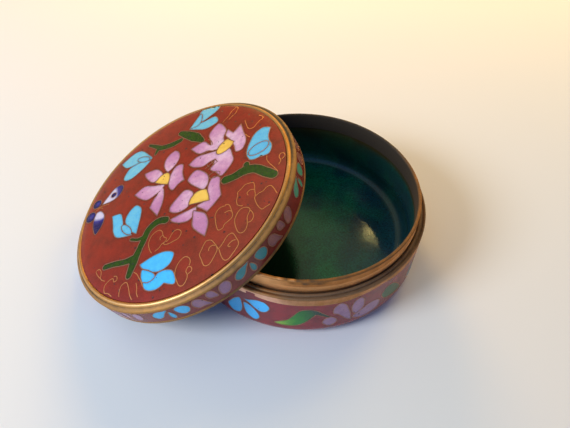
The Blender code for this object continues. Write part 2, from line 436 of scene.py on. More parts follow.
def liningFinish(look):
    # deep green glass enamel, poured thick and left unground: wet-looking and grainy; painted bluer
    # towards the right for the cool light that falls there, darkened as painted shade towards the front
    # left under the lid, and nearly black where it meets the rim
    material, tree, shader, place = newFinish("green_lining_enamel")
    mark = addNode(tree, "ShaderNodeAttribute", {"attribute_name": "tarnish"}).outputs["Fac"]
    split = addNode(tree, "ShaderNodeSeparateXYZ", inputs={"Vector": place})
    # painted cool light: bluer towards the right
    side = addNode(tree, "ShaderNodeMapRange", inputs={
        "Value": split.outputs["X"], "From Min": look["bluerFrom"] * mm, "From Max": look["bluerTo"] * mm,
        "To Min": 0.0, "To Max": look["bluer"]})
    pool = addNode(tree, "ShaderNodeTexNoise", inputs={
        "Vector": place, "Scale": perMm / look["pool"], "Detail": 3.0, "Roughness": 0.55})
    grain = addNode(tree, "ShaderNodeTexNoise", inputs={
        "Vector": place, "Scale": perMm / look["grain"], "Detail": 3.0, "Roughness": 0.75})
    toneAndLight = addNode(tree, "ShaderNodeMath", {"operation": "ADD"}, {0: pool, 1: side})
    body = addNode(tree, "ShaderNodeValToRGB", {"stops": look["stops"]}, {"Fac": toneAndLight})
    grained = speckled(tree, body, grain, look["grainShare"], look["grainStops"])
    # painted shade: darker towards the front left, where the leaning lid shadows the cup's floor
    across = addNode(tree, "ShaderNodeMath", {"operation": "MULTIPLY_ADD"}, {
        0: split.outputs["Y"], 1: look["lidShadeSlant"], 2: split.outputs["X"]})
    lidShade = addNode(tree, "ShaderNodeMapRange", inputs={
        "Value": across, "From Min": look["lidShadeFrom"] * mm, "From Max": look["lidShadeTo"] * mm,
        "To Min": look["lidShade"], "To Max": 0.0})
    deep = addNode(tree, "ShaderNodeMix", {"data_type": "RGBA"}, {
        "Factor": lidShade, "A": grained, "B": linearColour(look["lidShadeColour"])})
    uneven = addNode(tree, "ShaderNodeMath", {"operation": "MULTIPLY_ADD"}, {
        0: pool, 1: look["uneven"], 2: -0.5 * look["uneven"]})
    shaded = addNode(tree, "ShaderNodeMath", {"operation": "ADD", "use_clamp": True}, {0: mark, 1: uneven})
    crust = addNode(tree, "ShaderNodeValToRGB", {"stops": look["crust"]}, {"Fac": mark})
    rimmed = addNode(tree, "ShaderNodeMix", {"data_type": "RGBA"}, {
        "Factor": shaded, "A": deep, "B": crust})
    wave = addNode(tree, "ShaderNodeTexNoise", inputs={
        "Vector": place, "Scale": perMm / look["wave"], "Detail": 2.0})
    waved = addNode(tree, "ShaderNodeBump", inputs={
        "Height": wave, "Distance": look["waveHeight"] * mm, "Strength": 0.3})
    bump = addNode(tree, "ShaderNodeBump", inputs={
        "Height": grain, "Distance": look["grainHeight"] * mm, "Strength": 0.6, "Normal": waved})
    rough = addNode(tree, "ShaderNodeMath", {"operation": "MULTIPLY_ADD"}, {
        0: mark, 1: look["roughCrust"], 2: look["rough"]})
    gloss = addNode(tree, "ShaderNodeMath", {"operation": "MULTIPLY_ADD"}, {
        0: mark, 1: look["glossCrust"], 2: look["gloss"]})
    feed(tree, shader, {"Base Color": rimmed, "Normal": bump, "Roughness": rough, "IOR": look["ior"],
                        "Specular IOR Level": gloss})
    return material


def copperFinish(name, look):
    # spun copper, bare at the edges: a satin glow with fine turned lines, brown where handling
    # and polish have not reached, nearly black in the grooves; the same browning also carries
    # painted shade and painted light
    material, tree, shader, place = newFinish(name)
    mark = addNode(tree, "ShaderNodeAttribute", {"attribute_name": "tarnish"}).outputs["Fac"]
    blotch = addNode(tree, "ShaderNodeTexNoise", inputs={
        "Vector": place, "Scale": perMm / look["blotch"], "Detail": 4.0, "Roughness": 0.65})
    speck = addNode(tree, "ShaderNodeTexNoise", inputs={
        "Vector": place, "Scale": perMm / look["speck"], "Detail": 2.0})
    # turned lines run round the piece, so they change with height alone
    split = addNode(tree, "ShaderNodeSeparateXYZ", inputs={"Vector": place})
    lines = addNode(tree, "ShaderNodeTexNoise", {"noise_dimensions": "1D"}, {
        "W": split.outputs["Z"], "Scale": perMm / look["lineSpacing"], "Detail": 2.0})
    patchy = addNode(tree, "ShaderNodeMath", {"operation": "MULTIPLY_ADD"}, {
        0: blotch, 1: look["blotchShare"], 2: -0.5 * look["blotchShare"]})
    darkness = addNode(tree, "ShaderNodeMath", {"operation": "ADD", "use_clamp": True}, {0: mark, 1: patchy})
    body = addNode(tree, "ShaderNodeValToRGB", {"stops": look["stops"]}, {"Fac": darkness})
    dusted = speckled(tree, body, speck, look["dust"], look["dustStops"])
    rough = addNode(tree, "ShaderNodeMath", {"operation": "MULTIPLY_ADD"}, {
        0: darkness, 1: look["roughAge"], 2: look["rough"]})
    # the brown is a crust of oxide, so it shines no longer like metal; where it is painted shade, this dims
    # the shine as well
    bare = addNode(tree, "ShaderNodeMapRange", inputs={
        "Value": darkness, "From Min": look["crust"] - look["crustDepth"], "From Max": look["crust"],
        "To Min": 1.0, "To Max": look["crustShine"]})
    turned = addNode(tree, "ShaderNodeMath", {"operation": "MULTIPLY_ADD"}, {
        0: lines, 1: look["lines"], 2: speck})
    bump = addNode(tree, "ShaderNodeBump", inputs={
        "Height": turned, "Distance": look["lineHeight"] * mm, "Strength": look["bump"]})
    feed(tree, shader, {"Base Color": dusted, "Roughness": rough, "Normal": bump, "Metallic": bare})
    return material


# spacings and heights in mm; the stops run from bright to deeply tarnished, and also serve painted shade
plainCopper = {
    "crust": 0.85, "crustDepth": 0.3, "crustShine": 0.15, "blotch": 3.0, "blotchShare": 0.4,
    "speck": 0.35, "dust": 0.3, "dustStops": [(0.3, "#505050"), (0.7, "#b4b4b4")],
    "lines": 0.5, "lineSpacing": 0.12, "lineHeight": 0.01, "bump": 0.4, "rough": 0.5, "roughAge": 0.25,
}
copperLooks = {
    "satin_bare_copper": {"rough": 0.56, "stops": [
        (0.0, "#ffc684"), (0.4, "#cc8e50"), (0.75, "#705030"), (0.9, "#54402a"), (1.0, "#443420")]},
    "worn_lip_copper": {"stops": [
        (0.0, "#ffcca8"), (0.4, "#bc8650"), (0.75, "#946e48"), (1.0, "#6a4c2e")]},
    "worn_gilt_copper": {"crust": 0.65, "blotch": 2.0, "rough": 0.46, "lines": 0.0, "stops": [
        (0.0, "#e6b476"), (0.4, "#c08840"), (0.7, "#a4702e"), (0.87, "#583c16"), (1.0, "#281a0c")]},
    # the petal and wall wires: browner and darker than the cloud wires
    "darker_copper_wire": {"blotch": 1.5, "blotchShare": 0.5, "lines": 0.0, "bump": 0.2, "stops": [
        (0.0, "#b08068"), (0.5, "#8e604c"), (1.0, "#58392c")]},
    "polished_copper_wire": {"blotch": 1.5, "lines": 0.0, "bump": 0.2, "stops": [
        (0.0, "#dc9a5e"), (0.5, "#bc7848"), (1.0, "#7c4a2c")]},
}
coppers = {name: copperFinish(name, {**plainCopper, **look}) for name, look in copperLooks.items()}
lining = liningFinish(liningLook)
print("finishes made:", len(bpy.data.materials))


# The turned pieces of the base; heights and depths in mm, wear and painted light as (degrees round it,
# tarnish and shade)

enamelBorder = {
    "rise": 0.05, "waves": ((0.12, 5, 0.6), (0.07, 13, 2.0)),       # (height, waves a turn, start)
    "chips": ((240, 0.0), (246, 0.1), (247, 0.2), (249.6, 0.3), (250.4, 1.2), (252.2, 1.3), (253, 0.5),
              (257, 0.25), (266, -0.1), (280, -0.35), (290, -0.3), (297, 0.0), (303, 0.25), (308, 0.7),
              (313, 0.4), (322, 0.0)),
}


def borderHeight(angles):
    # the enamel laps unevenly over the copper band: its upper edge in mm, at angles in degrees
    wander = sum(height * np.sin(np.radians(angles) * waves + start)
                 for height, waves, start in enamelBorder["waves"])
    return bandBottom + enamelBorder["rise"] + wander + np.interp(angles % 360, *zip(*enamelBorder["chips"]))


cupLook = {
    "collarGap": 0.04, "floorTop": 1.6, "floorRound": 2.0, "undersideTop": 0.72, "discGap": 0.03,
    "ledgeDip": 0.34, "grooveWidth": 0.1, "grooveDip": 0.04, "solderRound": 0.42,
    "lipRound": 0.3, "lipFoot": 0.9, "lipFace": 0.15, "enamelDepth": 0.5,
    "lapHigh": 1.6, "lapLow": -0.7, "lapEnd": 0.2, "lapRings": 24, "lapDip": 0.14, "lapBlend": 0.16,
    "slack": 0.01,
    # by angle: lighter on the front left, as painted light from the left, browner elsewhere
    "wearAndShade": ((0, 0.25), (60, 0.2), (120, 0.2), (180, 0.1), (240, -0.1), (257, -0.15), (268, 0.12),
             (282, 0.2), (300, 0.2), (360, 0.25)),
}


def buildBaseCup():
    look = cupLook
    inner = collarRadius + look["collarGap"]
    behind = wallRadius - look["enamelDepth"]
    footInner = baseSpan("base_bottom_enamel")[2] + look["discGap"]
    floorTop, floorRound, underTop = look["floorTop"], look["floorRound"], look["undersideTop"]
    lapHigh, lapLow = bandBottom + look["lapHigh"], bandBottom + look["lapLow"]
    dipTop = ledgeHeight - look["ledgeDip"]
    solder = (inner + look["grooveWidth"] + look["solderRound"], dipTop)
    lip = (bandRadius - look["lipRound"], ledgeHeight - look["lipRound"])
    foot = (wallRadius - footRound, footRound)
    mesh = turnedMesh("base_cup_copper", coppers["worn_lip_copper"], [
        ([(0.0, floorTop), (inner - floorRound, floorTop)], 0.9),
        (arcPoints((inner - floorRound, floorTop + floorRound), floorRound, -80, 0, 6), 0.9),
        ([(inner, dipTop - look["grooveDip"])], 0.64),
        # a ridge of solder runs round the ledge between two dark lines
        (arcPoints(solder, look["solderRound"], 180, 150, 1), 0.66),
        (arcPoints(solder, look["solderRound"], 130, 40, 4), 0.68),
        (arcPoints(solder, look["solderRound"], 20, 0, 1), 0.7),
        ([(lip[0] - look["lipRound"] * look["lipFoot"], dipTop)], 0.76),
        (arcPoints(lip, look["lipRound"], 150, 60, 5), 0.72),
        (arcPoints(lip, look["lipRound"], 45, 0, 4), 0.5),
        ([(bandRadius, lip[1] - look["lipFace"])], 0.3),
        (upright(bandRadius, lapHigh, lapLow, look["lapRings"]), 0.15),
        # the wall behind the enamel, then the rolled foot and the underside
        ([(behind, lapLow - look["lapEnd"]), (behind, footRound)], 0.8),
        (arcPoints(foot, footRound - look["enamelDepth"], 0, -56, 5), 0.8),
        (arcPoints(foot, footRound, -57, -90, 5), 0.5),
        ([(footInner, 0.0), (footInner, underTop), (0.0, underTop)], 0.8)])
    shadeAndWearRound(mesh, look["wearAndShade"], lapLow)
    # where the enamel laps over it, the band dips below the enamel's skin
    points = meshPoints(mesh) / mm
    radii = np.hypot(points[:, 0], points[:, 1])
    heights = points[:, 2]
    onBand = ((radii > bandRadius - 2 * look["slack"]) & (heights < lapHigh + look["slack"])
              & (heights > lapLow - look["slack"]))
    above = heights - borderHeight(np.degrees(np.arctan2(points[:, 1], points[:, 0])))
    dip = np.where(onBand, look["lapDip"] * np.clip(0.5 - above / look["lapBlend"], 0, 1), 0.0)
    points[:, :2] *= (1 - dip / np.maximum(radii, 1.0))[:, None]
    mesh.vertices.foreach_set("co", (points * mm).ravel())
    return placeMesh(mesh, "base_copper", "base_cup")


collarLook = {
    "wall": 0.75, "edgeRound": 0.3,
    # how far below its top, in mm: the browning inside, then outside the part that fingers reach
    # and the part that the lid rubs, which ends over the ledge at a line of painted shade
    "insideDrops": (2.4, 1.2, 0.5), "handled": (0.5, 1.7), "between": 1.9, "rubbedTop": 2.0,
    "footShadeHeight": 0.34, "footShadeEdge": 0.04, "footShadeDepth": 0.03, "footDepth": 0.04,
    # by angle, between two depths below the top: lighter on the front left as painted light from
    # the left, browned on the far side of the rim, and specks of solder and brown smears at the front
    "wearAndShade": (
        (3.66, 0.4, ((200, 0.0), (240, -0.2), (257, -0.4), (266, 0.0), (360, 0.05))),
        (0.35, 0.0, ((10, 0.1), (40, 0.4), (140, 0.4), (200, 0.2), (255, -0.2), (268, 0.0), (290, 0.15),
                     (350, 0.1))),
        (0.12, 0.0, ((261, 0.0), (262.5, -0.25), (264, 0.0), (265.5, 0.2), (267, -0.2), (268.5, -0.28),
                     (270, 0.2), (272, 0.1), (274, -0.1), (276, 0.15), (279, 0.0))),
        (1.3, 0.45, ((266, 0.0), (268, 0.25), (271, 0.05), (273, 0.35), (276, 0.15), (279, 0.3),
                     (284, 0.0)))),
}


def buildCollar():
    look = collarLook
    inner, size = collarRadius - look["wall"], look["edgeRound"]
    footShade = ledgeHeight + look["footShadeHeight"]
    deep, middle, high = [(inner, collarTop - drop) for drop in look["insideDrops"]]
    handledTop, handledEnd = [collarTop - drop for drop in look["handled"]]
    mesh = turnedMesh("collar_copper", coppers["satin_bare_copper"], [
        ([(inner, collarBottom), deep], 1.15),
        ([middle], 1.1),
        ([high], 1.0),
        (arcPoints((inner + size, collarTop - size), size, 180, 95, 4), 0.6),
        (arcPoints((collarRadius - size, collarTop - size), size, 85, 0, 6), 0.5),
        (upright(collarRadius, handledTop, handledEnd, 4), 0.36),
        ([(collarRadius, collarTop - look["between"])], 0.25),
        (upright(collarRadius, collarTop - look["rubbedTop"], footShade + look["footShadeEdge"], 4), 0.05),
        # painted shade: darker from this line down to the ledge, where the collar stands on it
        ([(collarRadius - look["footShadeDepth"], footShade)], 0.42),
        ([(collarRadius - look["footDepth"], ledgeHeight)], 0.6),
        ([(collarRadius, collarBottom)], 1.0)])
    for lowest, highest, wearAndShade in look["wearAndShade"]:
        shadeAndWearRound(mesh, wearAndShade, collarTop - lowest, collarTop - highest)
    return placeMesh(mesh, "collar_copper", "base_collar")


liningShape = {
    "floorThickness": 1.2, "floorCrown": 1.2, "wall": 0.65, "cornerRound": 3.0, "outerRound": 2.0,
    "wallLow": 7.5, "wallHigh": 0.5, "lipIn": 0.15, "lipDrop": 0.05,     # mm below its top
    "coolLitTop": 1.2, "coolLitDepth": 8.0,            # on the right the wall stays blue-green, with less dark crust, up to here, as painted cool light
    "coolLit": ((0, -0.32), (35, -0.28), (65, 0.0), (290, 0.0), (325, -0.28), (360, -0.32)),
}


def buildLining():
    look = liningShape
    low, high, outer = baseSpan("base_inner_enamel")
    size, back = look["cornerRound"], look["outerRound"]
    floorEdge = low + look["floorThickness"]
    inner = collarRadius - look["wall"]
    corner = (inner - size, floorEdge + size)
    mesh = turnedMesh("base_lining_enamel", lining, [
        (crownPoints(corner[0], corner[0], floorEdge, look["floorCrown"], 12), 0.0),
        *graded(arcPoints(corner, size, -90, 0, 14)[1:], 0.3, 0.55),
        *graded(upright(inner, high - look["wallLow"], high - look["wallHigh"], 6), 0.6, 0.9),
        ([(inner + look["lipIn"], high - look["lipDrop"]), (outer, high), (outer, low + back)], 1.0),
        (arcPoints((outer - back, low + back), back, -10, -90, 6), 1.0),
        ([(0.0, low)], 1.0)])
    # painted cool light: less dark crust on the right side of the wall
    shadeAndWearRound(mesh, look["coolLit"], high - look["coolLitDepth"], high - look["coolLitTop"])
    return placeMesh(mesh, "lining_enamel", "base_inner_enamel")


def buildUnderside():
    low, high, outer = baseSpan("base_bottom_enamel")
    edge = 0.15                                # the disc's fire-rounded edge
    mesh = turnedMesh("base_bottom_enamel_disc", enamels["turquoise"], [
        ([(0.0, high), (outer, high)], 0.0),
        (arcPoints((outer - edge, low + edge), edge, 0, -90, 3), 0.0),
        ([(0.0, low)], 0.0)])
    return placeMesh(mesh, "bottom_enamel", "base_bottom_enamel")


# The turned pieces of the lid, drawn from its own bottom rim up

fieldShape = {"lap": 0.42, "crown": 0.9, "shoulder": 2.0, "shoulderDrop": 0.08, "thickness": 0.7}
lidRadius = lidSpan("lid_shell")[3] - facetDip
lidWallLow, lidWallHigh = lidSpan("lid_side_enamel")[:2]
fieldCrown = fieldShape["crown"]
fieldRadius = lidSpan("lid_top_enamel")[3] - fieldShape["lap"]      # the moulding laps over the enamel
fieldEdge = lidSpan("lid_top_enamel")[1] - fieldCrown
fieldRim = fieldEdge - fieldShape["shoulderDrop"]


def fieldHeight(radius):
    # domed, and rounded off a little more towards its edge
    rounding = np.maximum(0.0, (radius - fieldRadius) / fieldShape["shoulder"] + 1.0)
    return (crownHeight(radius, fieldRadius, fieldEdge, fieldCrown)
            - fieldShape["shoulderDrop"] * rounding ** 2)


lidShellLook = {
    "innerRound": 0.5, "innerRise": 0.05, "outerRound": 0.52, "outerRise": 0.06,
    "valleyShift": 0.12, "valleyDip": 0.1, "valleyEnd": (0.1, 0.01), "seamGap": 0.01, "innerFoot": 0.25,
    "plateDrop": 0.8, "plate": 0.5, "plateInset": 0.1, "enamelDepth": 0.5, "enamelLap": (0.08, 0.02),
    "lip": 0.75, "lipRound": 0.16, "skirtRadius": 28.45, "skirtHeight": 2.5, "skirtEase": 0.1,
    # painted shade: the gilding is browner and duller by angle round the lid, most towards the back right,
    # where it dims the highlights; its inner ridge most
    "innerRidgeShadeRise": 0.65,
    "innerRidgeShade": ((0, 0.08), (20, 0.2), (45, 0.32), (90, 0.32), (120, 0.2), (160, 0.0), (360, 0.0)),
    "wearAndShade": ((0, 0.1), (15, 0.2), (60, 0.32), (120, 0.15), (200, 0.1), (240, 0.15), (258, 0.02),
             (280, 0.02), (300, 0.16), (360, 0.1)),
}


def buildLidShell():
    look = lidShellLook
    inner, outer, lipRound = look["innerRound"], look["outerRound"], look["lipRound"]
    plate = fieldEdge - look["plateDrop"]
    under = plate - look["plate"]
    behind = lidRadius - look["enamelDepth"]
    seam = fieldRadius + look["seamGap"]       # where the moulding meets the picture
    innerMiddle = (seam + inner, fieldRim - inner + look["innerRise"])
    outerMiddle = (lidRadius - outer, lidWallHigh + look["outerRise"])
    valley = ((innerMiddle[0] + outerMiddle[0]) / 2 + look["valleyShift"],
              (innerMiddle[1] + outerMiddle[1]) / 2 + inner - look["valleyDip"])
    endOut, endUp = look["valleyEnd"]
    lapIn, lapUp = look["enamelLap"]
    lip = (lidRadius - lipRound, look["lip"] - lipRound)
    skirt, ease = look["skirtRadius"], look["skirtEase"]
    mesh = turnedMesh("lid_shell_copper", coppers["worn_gilt_copper"], [
        (crownPoints(fieldRadius - look["plateInset"], fieldRadius, plate, fieldCrown, 8), 0.8),
        ([(seam, fieldRim - look["innerFoot"])], 0.9),
        # two soft ridges with a browned valley between, the outer one falling away to the wall; the valley's
        # browning is patina and painted shade, the outer ridge's is painted shade that dims its highlight
        (arcPoints(innerMiddle, inner, 165, 125, 2), 0.1),
        (arcPoints(innerMiddle, inner, 105, 50, 4), 0.0),
        ([(valley[0] - look["valleyShift"], valley[1] + look["valleyDip"])], 0.4),
        ([valley], 0.75),
        ([(valley[0] + endOut, valley[1] + endUp)], 0.66),
        (arcPoints(outerMiddle, outer, 66, 30, 4), 0.52),
        (arcPoints(outerMiddle, outer, 20, 0, 2), 0.56),
        # the wall behind the enamel, the rounded lip and the skirt's inside
        ([(lidRadius - lapIn, lidWallHigh + lapUp), (behind, lidWallHigh), (behind, look["lip"])], 0.8),
        (arcPoints(lip, lipRound, 90, 0, 3), 0.6),
        (arcPoints((lip[0], lipRound), lipRound, 0, -90, 3), 0.6),
        ([(skirt + ease, 0.0), (skirt, ease)], 0.6),
        ([(skirt, look["skirtHeight"]), (skirt, under)], 0.75),
        ([(0.0, under + fieldCrown)], 0.8)])
    # painted shade by angle round the gilding, which dims its highlights
    shadeAndWearRound(mesh, look["innerRidgeShade"], lidWallHigh + look["innerRidgeShadeRise"])
    shadeAndWearRound(mesh, look["wearAndShade"])
    mesh.transform(lidPlace)
    return placeMesh(mesh, "lid_gilt", "lid_shell")


def buildLidLining():
    low, high, _, outer = lidSpan("lid_inner_enamel")
    slant = 0.02                               # how far its thin edge leans in
    mesh = turnedMesh("lid_lining_enamel", lining, [
        (crownPoints(outer, outer, high - fieldCrown, fieldCrown, 8), 0.0),
        (crownPoints(outer - slant, outer, low, fieldCrown, 8)[::-1], 0.0)])
    mesh.transform(lidPlace)
    return placeMesh(mesh, "lining_enamel", "lid_inner_enamel")


turnedPieces = [buildBaseCup(), buildCollar(), buildLining(), buildUnderside(),
                buildLidShell(), buildLidLining()]
print("turned pieces:", len(turnedPieces))


# Cloisonne work: cells of coloured enamel between wires, drawn flat in mm and then laid on
# the piece. A later cell lies over an earlier one, as on a plan.

inlay = {                                      # mm and degrees
    "spacing": 0.55, "lineSpacing": 0.25, "strokeSpacing": 0.2, "wallSpacing": 0.5, "touching": 0.001,
    "fieldCorners": 360, "ovalPoints": 28, "petalPoints": 17, "strokeTip": 0.04, "halvings": 8,
    "enamelSharp": 35.0, "wireSharp": 60.0, "merge": 1e-5, "petalFullness": 1.5,
    # shares: of the triangles' spacing, of a wire's width, of the lid's radius, and of a motif's size
    # and colour range
    "rowSpacing": 0.87, "rowShifts": (0.75, 0.25), "wireGap": 0.5, "wireTop": 0.8,
    "underRings": (1.0, 0.66, 0.33), "copySizes": (0.94, 1.0), "copyTone": 0.1,
}


def smoothLine(points, closed=False, corners=(), spacing=inlay["lineSpacing"]):
    # a curve through the points, with a corner at each point whose number is given
    points = np.array(points, float)
    count = len(points)
    curve = []
    for index in range(count if closed else count - 1):
        after = (index + 1) % count
        start, end = points[index], points[after]
        startPull = (end - points[index - 1]) / 2 if closed or index > 0 else end - start
        endPull = (points[(after + 1) % count] - start) / 2 if closed or after < count - 1 else end - start
        if index in corners:
            startPull = (end - start) / 2
        if after in corners:
            endPull = (end - start) / 2
        steps = max(2, round(float(np.linalg.norm(end - start)) / spacing))
        for step in range(steps):
            t = step / steps
            curve.append(start * (1 + 2 * t) * (1 - t) ** 2 + startPull * t * (1 - t) ** 2
                         + end * t * t * (3 - 2 * t) - endPull * t * t * (1 - t))
    if not closed:
        curve.append(points[-1])
    return np.array(curve)


def loop(*points, corners=()):
    return smoothLine(points, closed=True, corners=corners)


def oval(middle, length, width, turn=0.0):
    # turn is in degrees, anticlockwise
    angles = np.linspace(0, 2 * math.pi, inlay["ovalPoints"], endpoint=False)
    along = np.array((math.cos(math.radians(turn)), math.sin(math.radians(turn))))
    across = np.array((-along[1], along[0]))
    return (np.array(middle) + np.outer(np.cos(angles), along) * length / 2
            + np.outer(np.sin(angles), across) * width / 2)


def besideLine(line, offsets):
    # the points that lie to the left of a line by the offsets, in mm
    run = np.gradient(line, axis=0)
    run /= np.linalg.norm(run, axis=1)[:, None]
    return line + np.column_stack((-run[:, 1], run[:, 0])) * offsets[:, None]


def petal(start, end, width, widest):
    # pointed at both ends; widest is how far along it is widest
    t = np.linspace(0, 1, inlay["petalPoints"])
    line = np.outer(1 - t, start) + np.outer(t, end)
    power = np.array((widest, 1 - widest)) * inlay["petalFullness"]
    swell = t ** power[0] * (1 - t) ** power[1]
    half = width / 2 * swell / swell.max()
    return np.vstack((besideLine(line, half), besideLine(line, -half)[-2:0:-1]))


def stem(widths, *points):
    # a stroke along the points, whose width changes from one to the next, with round ends
    line = smoothLine(points, spacing=inlay["strokeSpacing"])
    at = np.linspace(0, len(points) - 1, len(line))
    half = np.interp(at, range(len(points)), widths) / 2
    steps = np.linalg.norm(np.diff(line, axis=0), axis=1)
    walked = np.concatenate(([0.0], np.cumsum(steps)))
    toEnd = np.minimum(walked / half[0], (walked[-1] - walked) / half[-1]).clip(inlay["strokeTip"], 1)
    half = half * np.sqrt(1 - (1 - toEnd) ** 2)
    return np.vstack((besideLine(line, half), besideLine(line, -half)[::-1]))


def cell(enamel, outline, heart=None, reach=8.0, group=None, shift=0.0):
    # heart is the point from which the colour changes, over the reach in mm; cells of one group
    # have no wire between them; shift moves a cell along its colour range
    return {"enamel": enamel, "outline": np.array(outline), "heart": heart, "reach": reach,
            "group": group, "shift": shift}


def colourPlaces(each, corners):
    # how far along its enamel's range of colour a cell is, at some corners
    if each["heart"] is None:
        return [each["shift"]] * len(corners)
    walked = np.linalg.norm(corners - np.array(each["heart"]), axis=1)
    return list(walked / each["reach"] + each["shift"])


def isInside(points, outline):
    # which of the points lie inside a closed outline
    low, high = outline.min(axis=0), outline.max(axis=0)
    found = np.zeros(len(points), bool)
    near = np.nonzero(((points >= low) & (points <= high)).all(axis=1))[0]
    if len(near):
        x, y = points[near, 0][:, None], points[near, 1][:, None]
        before = np.roll(outline, 1, axis=0)
        crossed = (outline[:, 1] > y) != (before[:, 1] > y)
        rise = outline[:, 1] - before[:, 1]
        rise[rise == 0] = 1e-12                # a level side is never crossed
        crossing = before[:, 0] + (y - before[:, 1]) / rise * (outline[:, 0] - before[:, 0])
        found[near] = (crossed & (x < crossing)).sum(axis=1) % 2 == 1
    return found


def isCovered(points, covers):
    found = np.zeros(len(points), bool)
    for cover in covers:
        found |= isInside(points, cover)
    return found


def shownRuns(line, closed, covers):
    # the stretches of a line that lie outside every cover, each as (points, whether it is closed)
    if closed:
        line = np.vstack((line, line[:1]))
    hidden = isCovered(line, covers)
    if not hidden.any():
        return [(line[:-1] if closed else line, closed)]
    runs, current = [], []
    for index in range(len(line)):
        if index and hidden[index] != hidden[index - 1]:
            # the crossing is found by halving
            out, inner = (line[index - 1], line[index]) if hidden[index] else (line[index], line[index - 1])
            for _ in range(inlay["halvings"]):
                middle = (out + inner) / 2
                if isCovered(middle[None], covers)[0]:
                    inner = middle
                else:
                    out = middle
            current.append(out)
        if not hidden[index]:
            current.append(line[index])
        elif current:
            runs.append(current)
            current = []
    if current:
        runs.append(current)
    if closed and len(runs) > 1 and not hidden[0]:
        runs[0] = runs.pop() + runs[0][1:]
    return [(np.array(run), False) for run in runs if len(run) > 1]


def wireRuns(cells):
    # every stretch of wire that shows round the cells
    runs = []
    for index, each in enumerate(cells):
        kin = [other is not each and each["group"] and other["group"] == each["group"] for other in cells]
        covers = [other["outline"] for number, other in enumerate(cells) if number > index or kin[number]]
        runs += shownRuns(each["outline"], True, covers)
    return runs


def joinRuns(points, sides, runs):
    # adds each run's points to a list of points, and its sides to a list of sides
    for line, closed in runs:
        first = len(points)
        points += [tuple(point) for point in line]
        sides += [(first + index, first + index + 1) for index in range(len(line) - 1)]
        if closed:
            sides.append((len(points) - 1, first))


def nearestOf(points):
    tree = KDTree(len(points))
    for index, point in enumerate(points):
        tree.insert((*point, 0.0), index)
    tree.balance()
    return lambda point: tree.find((*point, 0.0))[2]


def triangulate(edge, runs, spacing):
    # the area inside a closed edge in small triangles, with every run of wire along triangle sides
    points, sides = [], []
    joinRuns(points, sides, [(edge, True)] + runs)
    distance = nearestOf(points)
    low, high = edge.min(axis=0), edge.max(axis=0)
    columns = int((high[0] - low[0]) / spacing)
    rows = int((high[1] - low[1]) / (spacing * inlay["rowSpacing"]))      # for nearly even triangles
    for row in range(1, rows):
        xs = low[0] + (np.arange(columns) + inlay["rowShifts"][row % 2]) * spacing
        line = np.column_stack((xs, np.full(columns, low[1] + (high[1] - low[1]) * row / rows)))
        points += [tuple(point) for point in line[isInside(line, edge)]
                   if distance(point) > spacing * inlay["wireGap"]]
    made = delaunay_2d_cdt([Vector(point) for point in points], sides, [], 0, inlay["merge"])
    return np.array([tuple(point) for point in made[0]]), np.array(made[2])


def inlayMesh(name, drawing, layOn, closeUp):
    # drawing has the ground's enamel, the edge of the area, its cells and its pits; layOn turns
    # flat points and a height into points on the piece; closeUp adds the faces that don't show
    pits = drawing.get("pits", [])
    cells = [cell(drawing["ground"], drawing["edge"])] + drawing["cells"] + pits
    runs = wireRuns(drawing["cells"])
    flat, triangles = triangulate(drawing["edge"], runs + [(each["outline"], True) for each in pits],
                                  inlay["spacing"])
    centres = flat[triangles].mean(axis=1)
    owner = np.zeros(len(triangles), int)
    for index, each in enumerate(cells[1:], 1):
        owner[isInside(centres, each["outline"])] = index
    names = list(dict.fromkeys([drawing["ground"]] + sorted(each["enamel"] for each in cells)))
    slots = [names.index(cells[index]["enamel"]) for index in owner]
    along = [place for triangle, index in zip(triangles, owner)
             for place in colourPlaces(cells[index], flat[triangle])]
    toWire = nearestOf([point for line, _ in runs for point in line])
    points, hiddenFaces, kept = closeUp(flat, layOn(flat, 0.0))
    faces = [tuple(int(kept[corner]) for corner in triangle) for triangle in triangles] + hiddenFaces
    mesh = bpy.data.meshes.new(name)
    mesh.from_pydata([tuple(point) for point in points * mm], [], faces)
    for each in names:
        mesh.materials.append(enamels[each])
    mesh.polygons.foreach_set("material_index", slots + [0] * len(hiddenFaces))
    hiddenCorners = sum(len(face) for face in hiddenFaces)
    mesh.attributes.new("along", "FLOAT", "CORNER").data.foreach_set(
        "value", np.array(along + [0.0] * hiddenCorners, np.float32))
    rims = np.ones(len(points), np.float32)
    rims[kept] = [min(1.0, toWire(point) / drawing["smokeReach"]) for point in flat]
    mesh.attributes.new("rim", "FLOAT", "POINT").data.foreach_set("value", rims)
    tidyFaces(mesh, inlay["enamelSharp"])
    return mesh, runs


